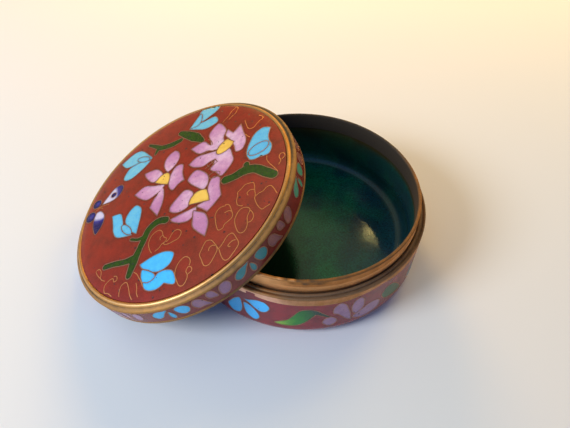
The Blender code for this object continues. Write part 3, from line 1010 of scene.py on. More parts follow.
def wireTree():
    tree, given = newTree("Wires in enamel", {
        "Lines": "Geometry", "Width": "Float", "Proud": "Float", "Depth": "Float", "Finish": "Material"})
    lines = addNode(tree, "GeometryNodeMeshToCurve", inputs={"Mesh": given["Lines"]})
    standing = addNode(tree, "GeometryNodeSetCurveNormal", {"mode": "Z_UP"}, {"Curve": lines})
    # the wire was stoned down with the enamel, so its top is flat; most of it is sunk, and the
    # section's Y points down into the enamel
    thickness = addNode(tree, "ShaderNodeMath", {"operation": "ADD"}, {
        0: given["Proud"], 1: given["Depth"]})
    half = addNode(tree, "ShaderNodeMath", {"operation": "MULTIPLY"}, {0: thickness, 1: 0.5})
    sink = addNode(tree, "ShaderNodeMath", {"operation": "SUBTRACT"}, {0: half, 1: given["Proud"]})
    crest = addNode(tree, "ShaderNodeMath", {"operation": "MULTIPLY"}, {
        0: given["Width"], 1: inlay["wireTop"]})
    middle = addNode(tree, "ShaderNodeCombineXYZ", inputs={"Y": sink})
    ribbon = addNode(tree, "GeometryNodeCurvePrimitiveQuadrilateral", {"mode": "TRAPEZOID"}, {
        "Height": thickness, "Bottom Width": crest, "Top Width": given["Width"], "Offset": 0.0})
    section = addNode(tree, "GeometryNodeTransform", inputs={"Geometry": ribbon, "Translation": middle})
    swept = addNode(tree, "GeometryNodeCurveToMesh", inputs={
        "Curve": standing, "Profile Curve": section, "Fill Caps": True})
    return finishTree(tree, swept, given["Finish"])


wireShape = wireTree()


def wireMesh(name, runs, wire, layOn):
    # the wires swept flat, in mm, then laid on the piece
    points, edges = [], []
    joinRuns(points, edges, runs)
    guide = bpy.data.meshes.new(name)
    guide.from_pydata([(x, y, 0.0) for x, y in points], edges, [])
    made = runTree(name, guide, wireShape, {
        "Width": wire["width"], "Proud": wireProud, "Depth": wire["depth"],
        "Finish": coppers[wire["finish"]]})
    flat = meshPoints(made)
    made.vertices.foreach_set("co", (layOn(flat[:, :2], flat[:, 2]) * mm).ravel())
    tidyFaces(made, inlay["wireSharp"])
    return made


# How flat drawings are laid on the three enamelled faces

def layOnField(flat, height):
    return np.column_stack((flat, fieldHeight(np.hypot(flat[:, 0], flat[:, 1])) + height))


def joinRings(rings):
    # faces between each ring of points and the next
    return [(int(lower[index - 1]), int(lower[index]), int(upper[index]), int(upper[index - 1]))
            for lower, upper in zip(rings, rings[1:]) for index in range(len(lower))]


def closeField(flat, laid):
    # the side and the underside of the lid's domed enamel
    onEdge = np.nonzero(np.hypot(flat[:, 0], flat[:, 1]) > fieldRadius - inlay["touching"])[0]
    rings = [onEdge[np.argsort(np.arctan2(flat[onEdge, 1], flat[onEdge, 0]))]]
    bottom = fieldEdge - fieldShape["thickness"]
    points, total = [laid], len(laid)
    for share in inlay["underRings"]:
        under = laid[rings[0]] * (share, share, 1.0)
        under[:, 2] = crownHeight(share * fieldRadius, fieldRadius, bottom, fieldCrown)
        points.append(under)
        rings.append(np.arange(total, total + len(under)))
        total += len(under)
    points.append(np.array([[0.0, 0.0, bottom + fieldCrown]]))
    last = rings[-1].tolist()
    faces = joinRings(rings) + [(last[index - 1], last[index], total) for index in range(len(last))]
    return np.vstack(points), faces, np.arange(len(flat))


def layOnLidWall(flat, height):
    angles = flat[:, 0] / wallRadius
    return np.column_stack(((wallRadius + height) * np.cos(angles),
                            (wallRadius + height) * np.sin(angles), flat[:, 1]))


def layOnBaseWall(flat, height):
    # below the foot's round the drawing goes on round the curve
    angles = flat[:, 0] / wallRadius
    turn = np.maximum(0.0, (footRound - flat[:, 1]) / footRound)
    radius = wallRadius - footRound * (1 - np.cos(turn)) + height * np.cos(turn)
    level = np.where(turn > 0, footRound * (1 - np.sin(turn)) - height * np.sin(turn), flat[:, 1])
    return np.column_stack((radius * np.cos(angles), radius * np.sin(angles), level))


def closeWall(insets):
    # joins the two ends of a wall's drawing and adds its back, which lies in by the insets, in mm,
    # at the bottom and at the top
    def close(flat, laid):
        left, right = flat[:, 0].min(), flat[:, 0].max()
        kept = np.arange(len(flat))
        ends = [np.nonzero(np.abs(flat[:, 0] - side) < inlay["touching"])[0] for side in (left, right)]
        ends = [end[np.argsort(flat[end, 1])] for end in ends]
        kept[ends[1]] = ends[0]
        rings = []
        for level in (flat[:, 1].min(), flat[:, 1].max()):
            onLevel = np.abs(flat[:, 1] - level) < inlay["touching"]
            ring = np.nonzero(onLevel & (flat[:, 0] < right - inlay["touching"]))[0]
            rings.append(ring[np.argsort(flat[ring, 0])])
        points, backs, total = [laid], [], len(laid)
        for ring, inset in zip(rings, insets):
            back = laid[ring].copy()
            back[:, :2] *= 1 - inset / np.hypot(back[:, 0], back[:, 1])[:, None]
            points.append(back)
            backs.append(np.arange(total, total + len(ring)))
            total += len(ring)
        return np.vstack(points), joinRings([rings[0], *backs, rings[1]]), kept
    return close


def ringEdge(radius, count):
    angles = np.linspace(0, 2 * math.pi, count, endpoint=False)
    return np.column_stack((np.cos(angles), np.sin(angles))) * radius


def wallEdge(startDegrees, low, high):
    # the outline of an unrolled wall, which starts at an angle free of motifs
    left = math.radians(startDegrees) * wallRadius
    right = left + 2 * math.pi * wallRadius
    columns = round((right - left) / inlay["wallSpacing"])
    rows = round((high - low) / inlay["wallSpacing"])
    xs = np.linspace(left, right, columns + 1)
    ys = np.linspace(low, high, rows + 1)
    return np.array([(x, low) for x in xs] + [(right, y) for y in ys[1:]]
                    + [(x, high) for x in xs[-2::-1]] + [(left, y) for y in ys[-2:0:-1]])


# The lid's picture: three blossoms on branches, turquoise buds, a butterfly and cloud scrolls

def starBlossom():
    heart = (-4.6, 4.6)
    petals = [
        petal((-3.9, 6.7), (-3.6, 13.9), 4.5, widest=0.55),
        loop((-11.7, 8.5), (-8.2, 8.9), (-6.2, 7.6), (-5.2, 6.3), (-6.6, 4.8), (-8.2, 4.6), (-10.6, 6.7),
             corners=(0, 3)),
        loop((-2.6, 6.2), (-1.6, 8.0), (0.3, 7.9), (0.9, 5.0), (2.0, 2.4), (0.5, 1.7), (-0.8, 0.2),
             (-2.2, 1.4), (-2.8, 3.6), corners=(4,))]
    cells = [cell("lilac", each, heart, shift=0.1 * index) for index, each in enumerate(petals)]
    cells += [cell("lilac", each, heart, group="left") for each in (
        loop((-12.8, 1.9), (-10.2, 3.8), (-7.0, 3.2), (-3.8, 2.6), (-5.4, 0.4), (-8.0, -0.9), (-10.6, 0.2),
             corners=(0,)),
        loop((-5.8, 2.4), (-3.9, 1.6), (-3.0, -1.0), (-2.9, -3.6), (-3.4, -6.7), (-6.5, -3.6),
             (-5.9, -1.2), (-5.2, 0.2), corners=(4, 5)))]
    centre = loop((-7.2, 4.2), (-5.8, 6.0), (-4.3, 6.6), (-3.2, 5.9), (-2.7, 4.0), (-2.9, 2.5), (-4.8, 3.1),
                  corners=(0, 5))
    return cells + [cell("yellow", centre)]


def tallBlossom():
    heart = (11.6, 10.6)
    petals = [
        loop((8.4, 10.2), (6.8, 14.0), (6.0, 16.6), (8.1, 19.7), (10.8, 16.6), (10.6, 14.0), (11.2, 11.0)),
        loop((1.4, 12.7), (4.8, 14.2), (7.0, 12.4), (9.2, 11.6), (8.6, 10.0), (6.8, 10.4), (4.3, 10.2),
             corners=(0,)),
        loop((2.1, 7.2), (4.0, 9.2), (7.0, 9.5), (10.0, 9.4), (9.6, 7.0), (8.2, 6.4), (6.4, 5.4), (3.8, 5.9),
             corners=(0,)),
        loop((9.6, 8.6), (9.4, 5.4), (8.8, 3.8), (10.6, 2.4), (12.4, 1.0), (14.6, 4.6), (14.1, 7.0),
             (12.8, 9.4))]
    cells = [cell("lilac", each, heart, 10.0, "tall") for each in petals]
    forked = loop((11.0, 14.4), (11.3, 16.5), (13.1, 14.7), (14.8, 17.2), (15.8, 14.5), (17.1, 11.0),
                  (16.6, 8.2), (14.9, 7.7), (14.0, 10.0), (12.6, 12.4), corners=(1, 2, 3))
    cells.append(cell("lilac", forked, heart, 9.0))
    centre = loop((9.4, 9.2), (10.0, 11.2), (11.7, 13.0), (13.8, 11.4), (13.3, 9.9), (11.8, 8.6), (10.2, 8.2),
                  corners=(2, 3))
    return cells + [cell("yellow", centre)]


def lowBlossom():
    heart = (7.6, -3.9)
    petals = [
        loop((3.0, 2.4), (4.6, 4.7), (7.0, 3.7), (8.7, 1.8), (9.0, -0.6), (8.0, -1.9), (5.8, -0.6),
             (3.9, 0.9)),
        loop((-0.1, -6.2), (-0.2, -4.8), (1.3, -2.5), (2.9, -0.9), (4.8, -1.5), (5.6, -2.8), (4.9, -4.5),
             (4.9, -6.0), (3.0, -7.0), (1.2, -6.9), corners=(0,)),
        loop((0.7, -8.6), (3.5, -7.6), (7.2, -6.5), (7.3, -7.8), (6.0, -9.9), (3.5, -10.1), (1.5, -9.4),
             corners=(0, 2)),
        loop((6.6, -7.6), (7.6, -7.9), (9.9, -9.0), (11.1, -11.6), (10.9, -14.9), (9.0, -13.6),
             (7.2, -11.8), (6.8, -9.5), corners=(4,)),
        loop((9.2, -1.2), (10.0, 1.1), (11.9, 0.6), (12.4, -2.0), (13.2, -4.7), (11.5, -7.2), (10.3, -8.6),
             (8.8, -7.5), (7.3, -6.4), (9.4, -5.0), corners=(4, 6))]
    cells = [cell("lilac", each, heart, 9.0, shift=0.08 * index) for index, each in enumerate(petals)]
    centre = loop((4.9, -5.6), (5.1, -4.0), (6.3, -2.3), (8.7, -2.0), (9.7, -3.6), (10.3, -5.5),
                  corners=(0, 5))
    return cells + [cell("yellow", centre)]


def lidBuds():
    upper = [
        loop((0.8, 26.0), (1.4, 28.0), (6.9, 28.0), (6.7, 26.0), (5.0, 24.2), (2.0, 22.6),
             corners=(1, 2)),
        loop((-1.2, 20.8), (1.0, 22.1), (3.0, 22.4), (6.2, 23.2), (7.6, 21.2), (6.6, 19.9), (4.0, 19.1),
             (1.0, 20.0), corners=(0,)),
        loop((-1.1, 20.9), (0.1, 24.0), (1.3, 26.2), (2.1, 24.0), (1.6, 21.6), corners=(0,)),
        loop((-21.9, 15.2), (-18.6, 18.0), (-15.9, 18.2), (-13.0, 16.0), (-10.9, 13.6), (-14.0, 13.4),
             (-17.0, 13.1), (-19.6, 13.1), corners=(0,)),
        loop((-11.0, 13.1), (-13.0, 10.5), (-16.0, 8.2), (-18.2, 8.2), (-19.0, 9.6), (-18.2, 12.2),
             (-16.5, 13.2), (-13.5, 13.6), corners=(0,)),
        oval((-14.0, 14.4), 4.6, 1.9, -18.0)]
    side = [
        loop((18.6, 4.4), (18.0, 5.5), (17.8, 7.5), (18.3, 10.0), (19.0, 12.0), (20.2, 13.3), (21.5, 13.8),
             (23.2, 13.2), (23.0, 12.0), (22.9, 10.5), (23.3, 8.8), (24.0, 7.5), (24.1, 6.0), (23.6, 4.6),
             (22.3, 4.2), (21.0, 4.0), (20.0, 3.7), (19.0, 3.9), corners=(7,)),
        oval((20.8, 7.0), 5.4, 3.2, 30.0),
        loop((-18.3, -3.1), (-15.5, -3.1), (-14.0, -5.4), (-13.2, -7.2), (-11.6, -8.6), (-9.6, -10.5),
             (-14.0, -10.3), (-16.0, -8.5), (-17.0, -6.0), corners=(0, 5)),
        loop((-13.2, -4.6), (-12.4, -2.7), (-11.0, -1.7), (-9.1, -3.0), (-8.5, -5.5), (-8.3, -10.5),
             (-10.2, -9.4), (-12.0, -7.5), (-13.0, -6.2), corners=(5,)),
        oval((-11.9, -8.5), 4.8, 1.8, -40.0)]
    low = [
        loop((-4.9, -19.0), (-3.0, -18.0), (-1.0, -17.2), (1.2, -16.8), (3.2, -17.2), (3.9, -18.0),
             (3.5, -19.8), (2.4, -20.9), (0.9, -21.5), (-0.8, -21.4), (-2.2, -20.7), (-3.9, -20.1),
             corners=(0,)),
        loop((-3.9, -20.5), (-2.9, -20.6), (-1.8, -21.0), (-0.6, -21.6), (0.1, -22.5), (-0.6, -23.6),
             (-2.6, -23.7), (-3.7, -22.2)),
        loop((-2.8, -23.5), (-1.6, -23.7), (-0.3, -23.1), (0.6, -21.9), (2.0, -21.4), (3.9, -21.6),
             (5.0, -22.7), (5.6, -24.4), (5.2, -25.0), (4.0, -24.8), (2.8, -24.4), (1.9, -25.2),
             (0.6, -25.7), (-1.0, -25.6), (-2.2, -24.9), corners=(10,))]
    return [cell("turquoise", each, shift=shift + 0.06 * (index % 3))
            for shift, buds in ((0.0, upper), (0.4, side), (0.9, low)) for index, each in enumerate(buds)]


def lidBranches():
    strokes = [
        stem((0.9, 1.3, 1.8, 2.0, 1.5), (-14.0, 19.7), (-11.3, 18.2), (-8.7, 16.8), (-5.2, 16.8),
             (-2.2, 17.8)),
        stem((1.5, 0.6), (-9.8, 16.9), (-10.4, 14.6)),
        stem((1.4, 2.6, 3.0, 1.0), (-4.3, 20.8), (-1.6, 19.2), (1.5, 17.1), (4.8, 14.4)),
        stem((2.4, 2.2, 2.7, 2.4, 2.6, 2.2), (12.5, -0.8), (15.4, -0.3), (18.2, 0.9), (20.8, 0.8),
             (23.4, -0.8), (26.2, -2.5)),
        stem((1.9, 1.4), (18.4, 1.4), (18.3, 3.5)),
        stem((1.9, 2.0, 1.9, 1.8, 2.3, 1.4), (0.4, -8.6), (-2.5, -8.3), (-4.8, -10.0), (-5.6, -13.0),
             (-6.6, -17.0), (-7.4, -22.0)),
        stem((2.2, 1.6, 1.5, 1.5), (-6.2, -16.9), (-9.5, -17.5), (-12.5, -17.5), (-15.9, -17.8)),
        stem((1.2, 0.9, 0.8), (-5.2, -11.6), (-7.3, -12.2), (-9.8, -11.6))]
    groups = ("far", "far", "bough", "right", "right", "left", "left", "left")
    return [cell("green", each, group=group) for each, group in zip(strokes, groups)]


def lidButterfly():
    return [
        cell("deepBlue", oval((-25.6, 2.6), 2.9, 2.8), (-25.3, 2.7), 2.0),
        cell("deepBlue", oval((-26.2, -1.4), 3.2, 3.5, 60.0), (-26.0, -1.2), 2.4),
        cell("wing", loop((-23.7, 1.9), (-22.5, 4.2), (-20.8, 6.6), (-18.7, 7.0), (-17.7, 5.6),
                          (-18.1, 3.9), (-19.0, 2.9), (-21.0, 2.1), corners=(0,)), (-24.4, 3.2), 10.0),
        cell("deepBlue", oval((-20.5, 4.2), 1.6, 1.5), (-20.4, 4.3), 1.2),
        cell("wing", loop((-24.6, -0.4), (-23.2, -0.2), (-21.4, -1.8), (-20.8, -4.0), (-21.2, -6.0),
                          (-22.3, -7.5), (-24.0, -5.0), (-24.7, -2.4), corners=(0,)), (-22.9, 2.2), 10.0)]


def cloudScrolls():
    # curling ribbons of cloud: each is one bent wire, with a smaller curl bent from its end
    curls = [
        [(14.7, -7.75), (15.6, -7.95), (16.4, -9.5), (16.9, -11.0), (16.5, -11.8), (15.2, -12.9),
         (15.1, -13.5), (14.5, -14.0), (13.8, -13.9), (13.2, -12.6), (12.9, -11.5), (12.6, -10.2),
         (12.9, -8.9), (13.7, -8.2), (14.9, -8.0)],
        [(14.8, -9.9), (15.4, -9.6), (16.1, -9.6), (16.6, -10.0)],
        [(20.7, -11.0), (20.8, -10.2), (20.2, -9.6), (19.2, -9.5), (18.3, -10.0), (17.6, -11.6),
         (17.7, -13.2), (18.6, -15.2), (19.4, -15.7), (20.2, -15.3), (20.6, -14.0), (20.4, -12.0),
         (20.9, -10.6), (21.5, -11.2), (21.8, -12.2), (21.4, -13.2), (20.7, -13.4)],
        [(19.0, -8.9), (18.3, -8.8), (17.6, -8.3), (17.3, -7.2), (17.4, -6.0), (17.3, -5.0), (18.0, -4.3),
         (18.8, -3.3), (19.9, -3.1), (20.7, -3.1), (21.1, -3.9), (21.3, -5.2), (21.6, -6.6), (21.6, -7.7),
         (22.4, -9.5), (23.5, -10.7), (24.3, -10.3), (25.2, -9.8)],
        [(21.3, -5.2), (20.3, -5.0), (19.6, -5.7), (19.9, -6.4)],
        [(21.7, -7.0), (22.4, -6.4), (23.3, -6.0), (24.0, -5.2), (24.9, -4.9), (25.6, -5.6), (26.6, -7.3)],
        [(13.9, -17.4), (14.4, -18.6), (14.1, -19.8), (13.3, -21.5), (12.6, -22.0), (11.8, -21.8),
         (11.0, -20.4), (10.4, -19.3), (10.6, -18.3), (11.3, -16.4), (12.2, -16.1), (13.0, -16.5),
         (14.2, -17.9), (14.7, -18.5), (15.4, -17.6), (16.2, -16.1), (16.8, -15.5), (17.6, -15.5),
         (18.6, -16.9), (19.1, -17.8), (19.0, -18.7), (18.0, -20.3), (17.2, -21.3), (16.3, -21.3),
         (15.5, -20.2), (14.8, -18.6)],
        [(13.9, -17.7), (13.2, -17.5), (12.5, -17.9), (12.4, -18.7)],
        [(18.4, -17.1), (17.7, -17.2), (17.0, -17.8), (16.8, -18.3), (17.4, -18.5)],
        [(-2.3, -16.6), (-3.1, -15.6), (-3.8, -14.0), (-3.6, -12.3), (-2.9, -11.4), (-1.8, -10.9),
         (-0.8, -11.4), (-0.3, -12.4), (0.2, -13.1), (0.9, -13.5), (0.8, -14.3), (0.0, -14.8),
         (-0.6, -15.7), (-1.5, -16.3)],
        [(-0.3, -12.4), (-0.9, -13.0), (-0.7, -13.7)],
        [(1.0, -14.4), (1.6, -14.0), (2.3, -12.4), (3.1, -11.8), (4.0, -12.0), (4.6, -12.8), (4.2, -14.1),
         (3.1, -14.6), (2.0, -15.0), (1.0, -15.1), (0.3, -14.7)],
        [(8.4, -23.2), (9.1, -22.6), (8.9, -21.8), (8.1, -21.6), (7.8, -22.6), (8.3, -23.5), (8.2, -24.6),
         (7.6, -25.6), (6.7, -25.5), (5.9, -24.4), (5.1, -22.6), (5.3, -20.8), (6.0, -19.7), (6.9, -19.1),
         (7.9, -19.5), (8.4, -20.4), (8.3, -21.3)],
        [(-11.6, -20.6), (-10.7, -20.8), (-10.4, -21.7), (-11.2, -22.0), (-11.6, -21.2), (-12.6, -21.4),
         (-13.6, -22.6), (-13.2, -24.2), (-12.0, -24.6), (-10.8, -25.4)],
        [(-8.6, -25.8), (-8.8, -24.6), (-8.6, -23.3), (-7.5, -22.7), (-6.7, -23.6), (-6.1, -24.8),
         (-5.6, -25.9), (-4.8, -27.0)],
        [(-4.6, -23.3), (-4.1, -24.5), (-3.8, -25.8), (-3.3, -26.6)],
        [(-6.0, -20.6), (-5.0, -21.2), (-4.0, -22.4), (-3.2, -23.4), (-2.6, -24.4)],
        [(-14.0, -21.4), (-15.5, -20.6), (-15.9, -18.9), (-16.8, -18.0), (-17.6, -18.5), (-16.6, -19.7),
         (-15.4, -20.6)],
        [(23.2, 4.0), (23.3, 2.8), (24.0, 1.6), (25.0, 0.4), (26.3, -1.3)],
        [(26.3, 0.6), (26.7, 1.8), (26.2, 2.8), (26.5, 3.8), (27.2, 3.8), (27.5, 2.9), (26.9, 2.1)],
        [(15.7, 18.1), (16.3, 16.5), (17.0, 15.0), (17.6, 14.5), (18.6, 14.7), (19.2, 15.7), (19.9, 16.6),
         (20.5, 17.0), (20.6, 17.7), (20.1, 18.3), (19.4, 18.7)],
        [(16.7, 12.9), (17.3, 12.1), (18.0, 11.5)],
        [(9.2, 19.7), (9.7, 20.5), (10.5, 21.6), (11.2, 23.4), (12.3, 24.5), (12.8, 23.9), (12.5, 22.3),
         (11.6, 21.2), (10.9, 20.2)],
        [(-26.0, 0.9), (-23.6, 1.4), (-21.0, 1.5)],
        [(-25.4, 0.2), (-24.0, 1.0), (-22.8, 0.6)]]
    return [smoothLine(curl, spacing=inlay["strokeSpacing"]) for curl in curls]


def petalSpurs():
    # short wires that run in between petals, and the little lattice under the tall blossom
    spurs = [smoothLine(points) for points in (
        [(7.8, 12.2), (7.2, 13.6), (6.1, 14.6)], [(7.4, 10.4), (6.2, 9.9), (4.9, 9.7)],
        [(7.3, 4.4), (8.6, 5.6), (9.8, 6.8)], [(8.3, 3.8), (9.4, 5.0), (10.5, 6.0)],
        [(7.6, 5.6), (8.4, 4.6)], [(8.6, 6.4), (9.4, 5.4)], [(9.4, 7.0), (10.2, 6.0)],
        [(0.9, 2.2), (2.0, 2.7)], [(-5.4, 0.4), (-4.6, 1.0)])]
    loopWire = oval((10.3, 1.8), 2.9, 1.9, 10.0)
    return spurs + [np.vstack((loopWire, loopWire[:1]))]


def lidPicture():
    blossoms = starBlossom() + tallBlossom() + lowBlossom()
    # where grains of enamel fell out: (place, length, turn), and their width against their length
    fallen = (((21.7, 4.3), 0.8, 20.0), ((-10.8, -22.6), 0.4, 0.0), ((11.6, -10.4), 0.3, 60.0),
              ((-21.4, 9.7), 0.35, 30.0))
    slimness = 0.8
    return {
        "ground": "red", "edge": ringEdge(fieldRadius, inlay["fieldCorners"]), "smokeReach": 0.45,
        "cells": lidBranches() + lidBuds() + blossoms + lidButterfly(),
        "pits": [cell("pit", oval(middle, size, size * slimness, turn)) for middle, size, turn in fallen],
    }


# The two walls, unrolled: motifs in (degrees round the piece, mm up), repeated all the way round

def spread(outlines, wall, enamel, reach=None):
    # copies of a motif round an unrolled wall, kept clear of its seam; the wall's copies hold how
    # many degrees each was set off its place and its place in the colour range, which is painted
    # light: low, greener and browner, on the right where the light is warm and dim, high on the front;
    # a reach makes the colour change from each outline's first point
    cells = []
    toneRange = inlay["copyTone"]
    for copy, (shift, toneAndLight) in enumerate(wall["copies"]):
        for outline in outlines:
            turned = np.array(outline, float)
            if copy:
                middle = turned.mean(axis=0)
                turned = middle + (turned - middle) * random.uniform(*inlay["copySizes"])
            turned[:, 0] += 360 / len(wall["copies"]) * copy + shift
            turned[:, 0] -= 360 * math.floor((turned[:, 0].mean() - wall["seam"]) / 360)
            turned[:, 0] = np.radians(turned[:, 0]) * wallRadius
            line = smoothLine(turned, closed=True)
            if reach:
                cells.append(cell(enamel, line, turned[0], reach))
            else:
                cells.append(cell(enamel, line, shift=toneAndLight + random.uniform(-toneRange, toneRange)))
    return cells


lidWall = {
    "seam": -55.1, "lipLap": 0.3, "insets": (0.5, 0.5), "smokeReach": 0.4,
    # painted light: each copy's place in the colour range is low on the right, where the light is warm and
    # dim, and high on the front left
    "copies": ((0.0, 0.85), (-2.5, 0.5), (-1.2, 0.1), (0.6, 0.3), (-0.8, 0.7), (0.5, 0.9), (-0.4, 0.8),
               (0.9, 0.9), (-0.5, 1.0)),
    "buds": [
        [(268.3, 2.9), (269.3, 4.1), (271.6, 4.8), (274.5, 4.8), (276.8, 4.75), (274.6, 3.6),
         (272.6, 2.4), (270, 2.0)],
        [(276.5, 4.0), (275.5, 2.7), (275.6, 1.5), (276.9, 1.1), (278, 2.0), (277.6, 3.3)],
        [(279.2, 4.0), (280.4, 4.75), (283, 4.8), (285, 4.0), (285.2, 2.9), (283.7, 1.9), (281.6, 1.7),
         (280, 2.5)]],
    "petals": [
        [(286.6, 3.0), (287.4, 4.3), (289.2, 4.7), (291.2, 3.9), (292.4, 2.3), (293.4, 1.2),
         (290.4, 1.6), (287.8, 1.7)],
        [(293.4, 3.9), (294.3, 4.8), (296.2, 4.8), (297.1, 3.7), (297.2, 2.3), (295.4, 2.5), (293.9, 2.9)],
        [(298.6, 1.9), (298.8, 3.6), (300.4, 4.7), (302.9, 4.75), (303.9, 3.6), (302.8, 2.1),
         (300.6, 1.4)]],
}


def lidWallPattern():
    return {
        "ground": "lidWallRed", "smokeReach": lidWall["smokeReach"],
        "edge": wallEdge(lidWall["seam"], lidWallLow + lidWall["lipLap"], lidWallHigh),
        "cells": spread(lidWall["buds"], lidWall, "wallBlue") + spread(lidWall["petals"], lidWall, "purple"),
    }


baseWall = {
    "seam": -33.5, "low": 0.05, "lap": 1.5, "insets": (0.5, 0.06), "smokeReach": 0.45, "leafReach": 10.0,
    # painted light: each copy's place in the colour range is lowest on the right, where the light is dim
    "copies": ((0.0, 0.95), (-0.8, 0.7), (0.9, 0.8), (0.4, 0.9)),
    "buds": [
        [(246, 10), (247, 7.5), (246.5, 5), (244.5, 3.5), (241.5, 3.3), (239.4, 5), (241, 7), (243.5, 9)],
        [(247.6, 8.7), (248.3, 5.5), (250.4, 3.9), (253, 3.4), (254.9, 4.8), (254.1, 6.6), (252, 8.1),
         (249.5, 9)],
        [(248, 10.4), (250, 10.7), (252, 11.3), (254.5, 11.7), (257.5, 11.4), (259.4, 9.8), (258.1, 8),
         (255.5, 7.4), (252.6, 8.3), (250.4, 9.5)]],
    "leaves": [
        [(261.4, 4.6), (264, 5.5), (267, 6.5), (269.4, 8.4), (271.6, 10.2), (275, 10.9), (278.6, 10.4),
         (281.4, 9.1), (284.6, 7.5), (285.6, 7.1), (284.4, 7.0), (281.0, 8.0), (279.0, 8.6), (277.6, 7.9),
         (275.6, 6.4), (273, 4.9), (270, 4.1), (266, 3.9), (263, 4.1)]],
    "darkLeaves": [
        [(323.7, 4.5), (320, 4.2), (316.5, 4.8), (312.5, 5.6), (310.4, 6.9), (309.3, 8.5), (311.5, 10.3),
         (315, 10.3), (318.5, 8.7), (321.5, 6.6)]],
    "petals": [
        [(286, 8.5), (286.1, 10.6), (288.5, 12.0), (291, 11.1), (292.5, 9.1), (294, 6.5), (294.5, 4.2),
         (292.4, 4.9), (290.4, 6.2), (288.3, 7.6)],
        [(281.8, 5), (282.4, 6.4), (284.6, 7.1), (286.9, 6.5), (288.1, 5), (286.5, 3.8), (284, 3.7)],
        [(294.5, 7.5), (294, 9.6), (295.3, 11.4), (297.6, 12.0), (299.5, 10.6), (299.9, 8), (298.2, 6.3),
         (296, 6.0)],
        [(295.2, 4.9), (298.6, 6.4), (303, 7.8), (307, 7.6), (309.2, 6.0), (308, 4.2), (304, 3.4),
         (299, 3.4)]],
}


def baseWallPattern():
    return {
        "ground": "wallRed", "smokeReach": baseWall["smokeReach"],
        "edge": wallEdge(baseWall["seam"], baseWall["low"], bandBottom + baseWall["lap"]),
        "cells": (spread(baseWall["buds"], baseWall, "wallBlue")
                  + spread(baseWall["leaves"], baseWall, "leafGreen", baseWall["leafReach"])
                  + spread(baseWall["darkLeaves"], baseWall, "leafGreen")
                  + spread(baseWall["petals"], baseWall, "purple")),
    }


# The enamelled pieces and their wires

wires = {
    "petal": {"width": 0.25, "depth": 0.16, "finish": "darker_copper_wire"},
    "wall": {"width": 0.24, "depth": 0.16, "finish": "darker_copper_wire"},
    "cloud": {"width": 0.21, "depth": 0.12, "finish": "polished_copper_wire"},
}


def buildLidTop():
    picture = lidPicture()
    enamel, runs = inlayMesh("lid_top_enamel_picture", picture, layOnField, closeField)
    spurs = [(line, False) for line in petalSpurs()]
    petals = wireMesh("lid_top_wires", runs + spurs, wires["petal"], layOnField)
    covers = [each["outline"] for each in picture["cells"]]
    curls = [run for line in cloudScrolls() for run in shownRuns(line, False, covers)]
    clouds = wireMesh("lid_cloud_wires", curls, wires["cloud"], layOnField)
    for each in (enamel, petals, clouds):
        each.transform(lidPlace)
    return [placeMesh(enamel, "top_enamel", "lid_top_enamel"), placeMesh(petals, "lid_gilt"),
            placeMesh(clouds, "lid_gilt")]


def buildWall(name, pattern, insets, layOn, place, replaced, wireSlot):
    enamel, runs = inlayMesh(name + "_enamel", pattern, layOn, closeWall(insets))
    outlines = wireMesh(name + "_wires", runs, wires["wall"], layOn)
    for each in (enamel, outlines):
        each.transform(place)
    return [placeMesh(enamel, "side_enamel", replaced), placeMesh(outlines, wireSlot)]


random.seed(7)
enamelPieces = buildLidTop()
enamelPieces += buildWall("lid_wall", lidWallPattern(), lidWall["insets"], layOnLidWall, lidPlace,
                          "lid_side_enamel", "lid_gilt")
enamelPieces += buildWall("base_wall", baseWallPattern(), baseWall["insets"], layOnBaseWall, Matrix(),
                          "base_outer_enamel", "base_copper")
print("enamelled pieces:", len(enamelPieces))


# Floor, light and camera

floorLook = {"size": 4.0, "colour": "#e9e4da", "roughness": 0.9}
cameraLook = {                                 # mm and degrees
    "distance": 128.14, "rise": 50.284, "roll": -3.663, "pan": -1.963, "tilt": -2.207,
    "lens": 30.0, "sensor": 36.0, "nearest": 10.0,
}
roomLook = {
    "back": [(0.05, "#e0be96"), (0.5, "#504b3f"), (0.69, "#504b3f"), (0.72, "#b4bc9a"), (1.0, "#a8ae8c")],
    "front": [(0.05, "#5cb0ff"), (0.48, "#4488f4"), (0.56, "#5c5e54"), (0.68, "#5c5e54"), (0.8, "#6890e0")],
    "ceilingSlope": -0.28, "warmSides": 0.45, "warmRight": 0.35, "frontEnd": -0.3, "backStart": 0.5,
    "sideReach": 0.8, "levelLeft": 1.45, "levelRight": 0.60,
}
lights = {                                     # place and size in metres, power in watts, colour
    "window_behind": ((-0.08, 0.33, 0.13), 0.14, 0.80, "#ffcc78"),
    "window_behind_right": ((0.20, 0.30, 0.20), 0.20, 0.70, "#ffde86"),
    "window_left": ((-0.35, -0.20, 0.28), 0.20, 2.24, "#dde8f8"),
    "lamp_behind": ((0.109, 0.212, 0.240), 0.022, 0.020, "#ffe890"),
}


def buildFloor():
    # matt paper, which scatters the light evenly
    material, tree, shader, _ = newFinish("matt_paper_floor")
    feed(tree, shader, {"Base Color": linearColour(floorLook["colour"]), "Roughness": floorLook["roughness"]})
    half = floorLook["size"] / 2
    mesh = bpy.data.meshes.new("floor")
    mesh.from_pydata([(-half, -half, 0), (half, -half, 0), (half, half, 0), (-half, half, 0)], [],
                     [(0, 1, 2, 3)])
    mesh.materials.append(material)
    floor = bpy.data.objects.new("floor", mesh)
    scene.collection.objects.link(floor)


def addLight(name, at, size, power, hexCode):
    # a round lamp that faces the box
    light = bpy.data.lights.new(name, "AREA")
    light.shape = "DISK"
    light.size = size
    light.energy = power
    light.color = linearColour(hexCode)[:3]
    holder = bpy.data.objects.new(name, light)
    holder.location = at
    holder.rotation_euler = Vector(at).to_track_quat("Z", "Y").to_euler()
    scene.collection.objects.link(holder)


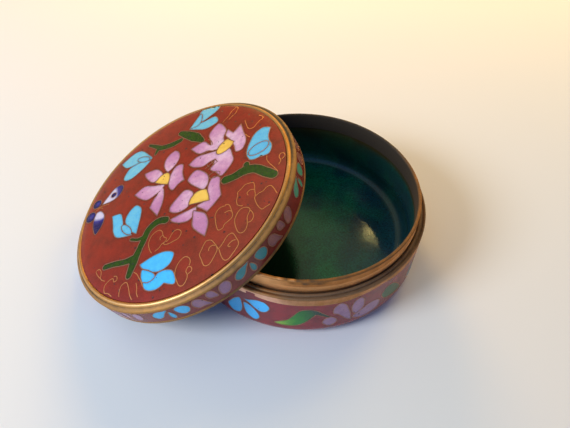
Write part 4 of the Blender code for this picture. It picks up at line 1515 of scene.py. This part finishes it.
def addCamera(look):
    rise = math.radians(look["rise"])
    place = Vector((0.0, -math.cos(rise), math.sin(rise))) * (look["distance"] * mm)
    forward = -place.normalized()
    right = forward.cross(Vector((0.0, 0.0, 1.0))).normalized()
    view = (Matrix.Rotation(math.radians(look["roll"]), 3, "Z")
            @ Matrix.Rotation(math.radians(look["tilt"]), 3, "X")
            @ Matrix.Rotation(math.radians(look["pan"]), 3, "Y")
            @ Matrix((right, right.cross(forward), -forward)))
    lens = bpy.data.cameras.new("camera")
    lens.lens = look["lens"]
    lens.sensor_width = look["sensor"]
    lens.clip_start = look["nearest"] * mm
    camera = bpy.data.objects.new("camera", lens)
    camera.matrix_world = Matrix.Translation(place) @ view.transposed().to_4x4()
    scene.collection.objects.link(camera)
    scene.camera = camera


def addRoom(look):
    # a pale room: warm walls behind, cool daylight in front, dim above them, and a lit ceiling
    world = bpy.data.worlds.new("soft_room")
    world.use_nodes = True
    tree = world.node_tree
    direction = addNode(tree, "ShaderNodeTexCoord").outputs["Generated"]
    split = addNode(tree, "ShaderNodeSeparateXYZ", inputs={"Vector": direction})
    sloping = addNode(tree, "ShaderNodeMath", {"operation": "MULTIPLY_ADD"}, {
        0: split.outputs["X"], 1: look["ceilingSlope"], 2: split.outputs["Z"]})
    back = addNode(tree, "ShaderNodeValToRGB", {"stops": look["back"]}, {"Fac": sloping})
    front = addNode(tree, "ShaderNodeValToRGB", {"stops": look["front"]}, {"Fac": split.outputs["Z"]})
    # daylight falls in from the front, and further round on the left than on the right
    aside = addNode(tree, "ShaderNodeMath", {"operation": "ABSOLUTE"}, {0: split.outputs["X"]})
    sides = addNode(tree, "ShaderNodeMath", {"operation": "MULTIPLY_ADD"}, {
        0: aside, 1: look["warmSides"], 2: split.outputs["Y"]})
    turn = addNode(tree, "ShaderNodeMath", {"operation": "MULTIPLY_ADD"}, {
        0: split.outputs["X"], 1: look["warmRight"], 2: sides})
    behind = addNode(tree, "ShaderNodeMapRange", inputs={
        "Value": turn, "From Min": look["frontEnd"], "From Max": look["backStart"]})
    room = addNode(tree, "ShaderNodeMix", {"data_type": "RGBA"}, {"Factor": behind, "A": front, "B": back})
    level = addNode(tree, "ShaderNodeMapRange", inputs={
        "Value": split.outputs["X"], "From Min": -look["sideReach"], "From Max": look["sideReach"],
        "To Min": look["levelLeft"], "To Max": look["levelRight"]})
    feed(tree, tree.nodes["Background"], {"Color": room, "Strength": level})
    scene.world = world


buildFloor()
for name, values in lights.items():
    addLight(name, *values)
addRoom(roomLook)
addCamera(cameraLook)
scene.view_settings.view_transform = "Standard"
print("stage set:", len(lights), "lights")
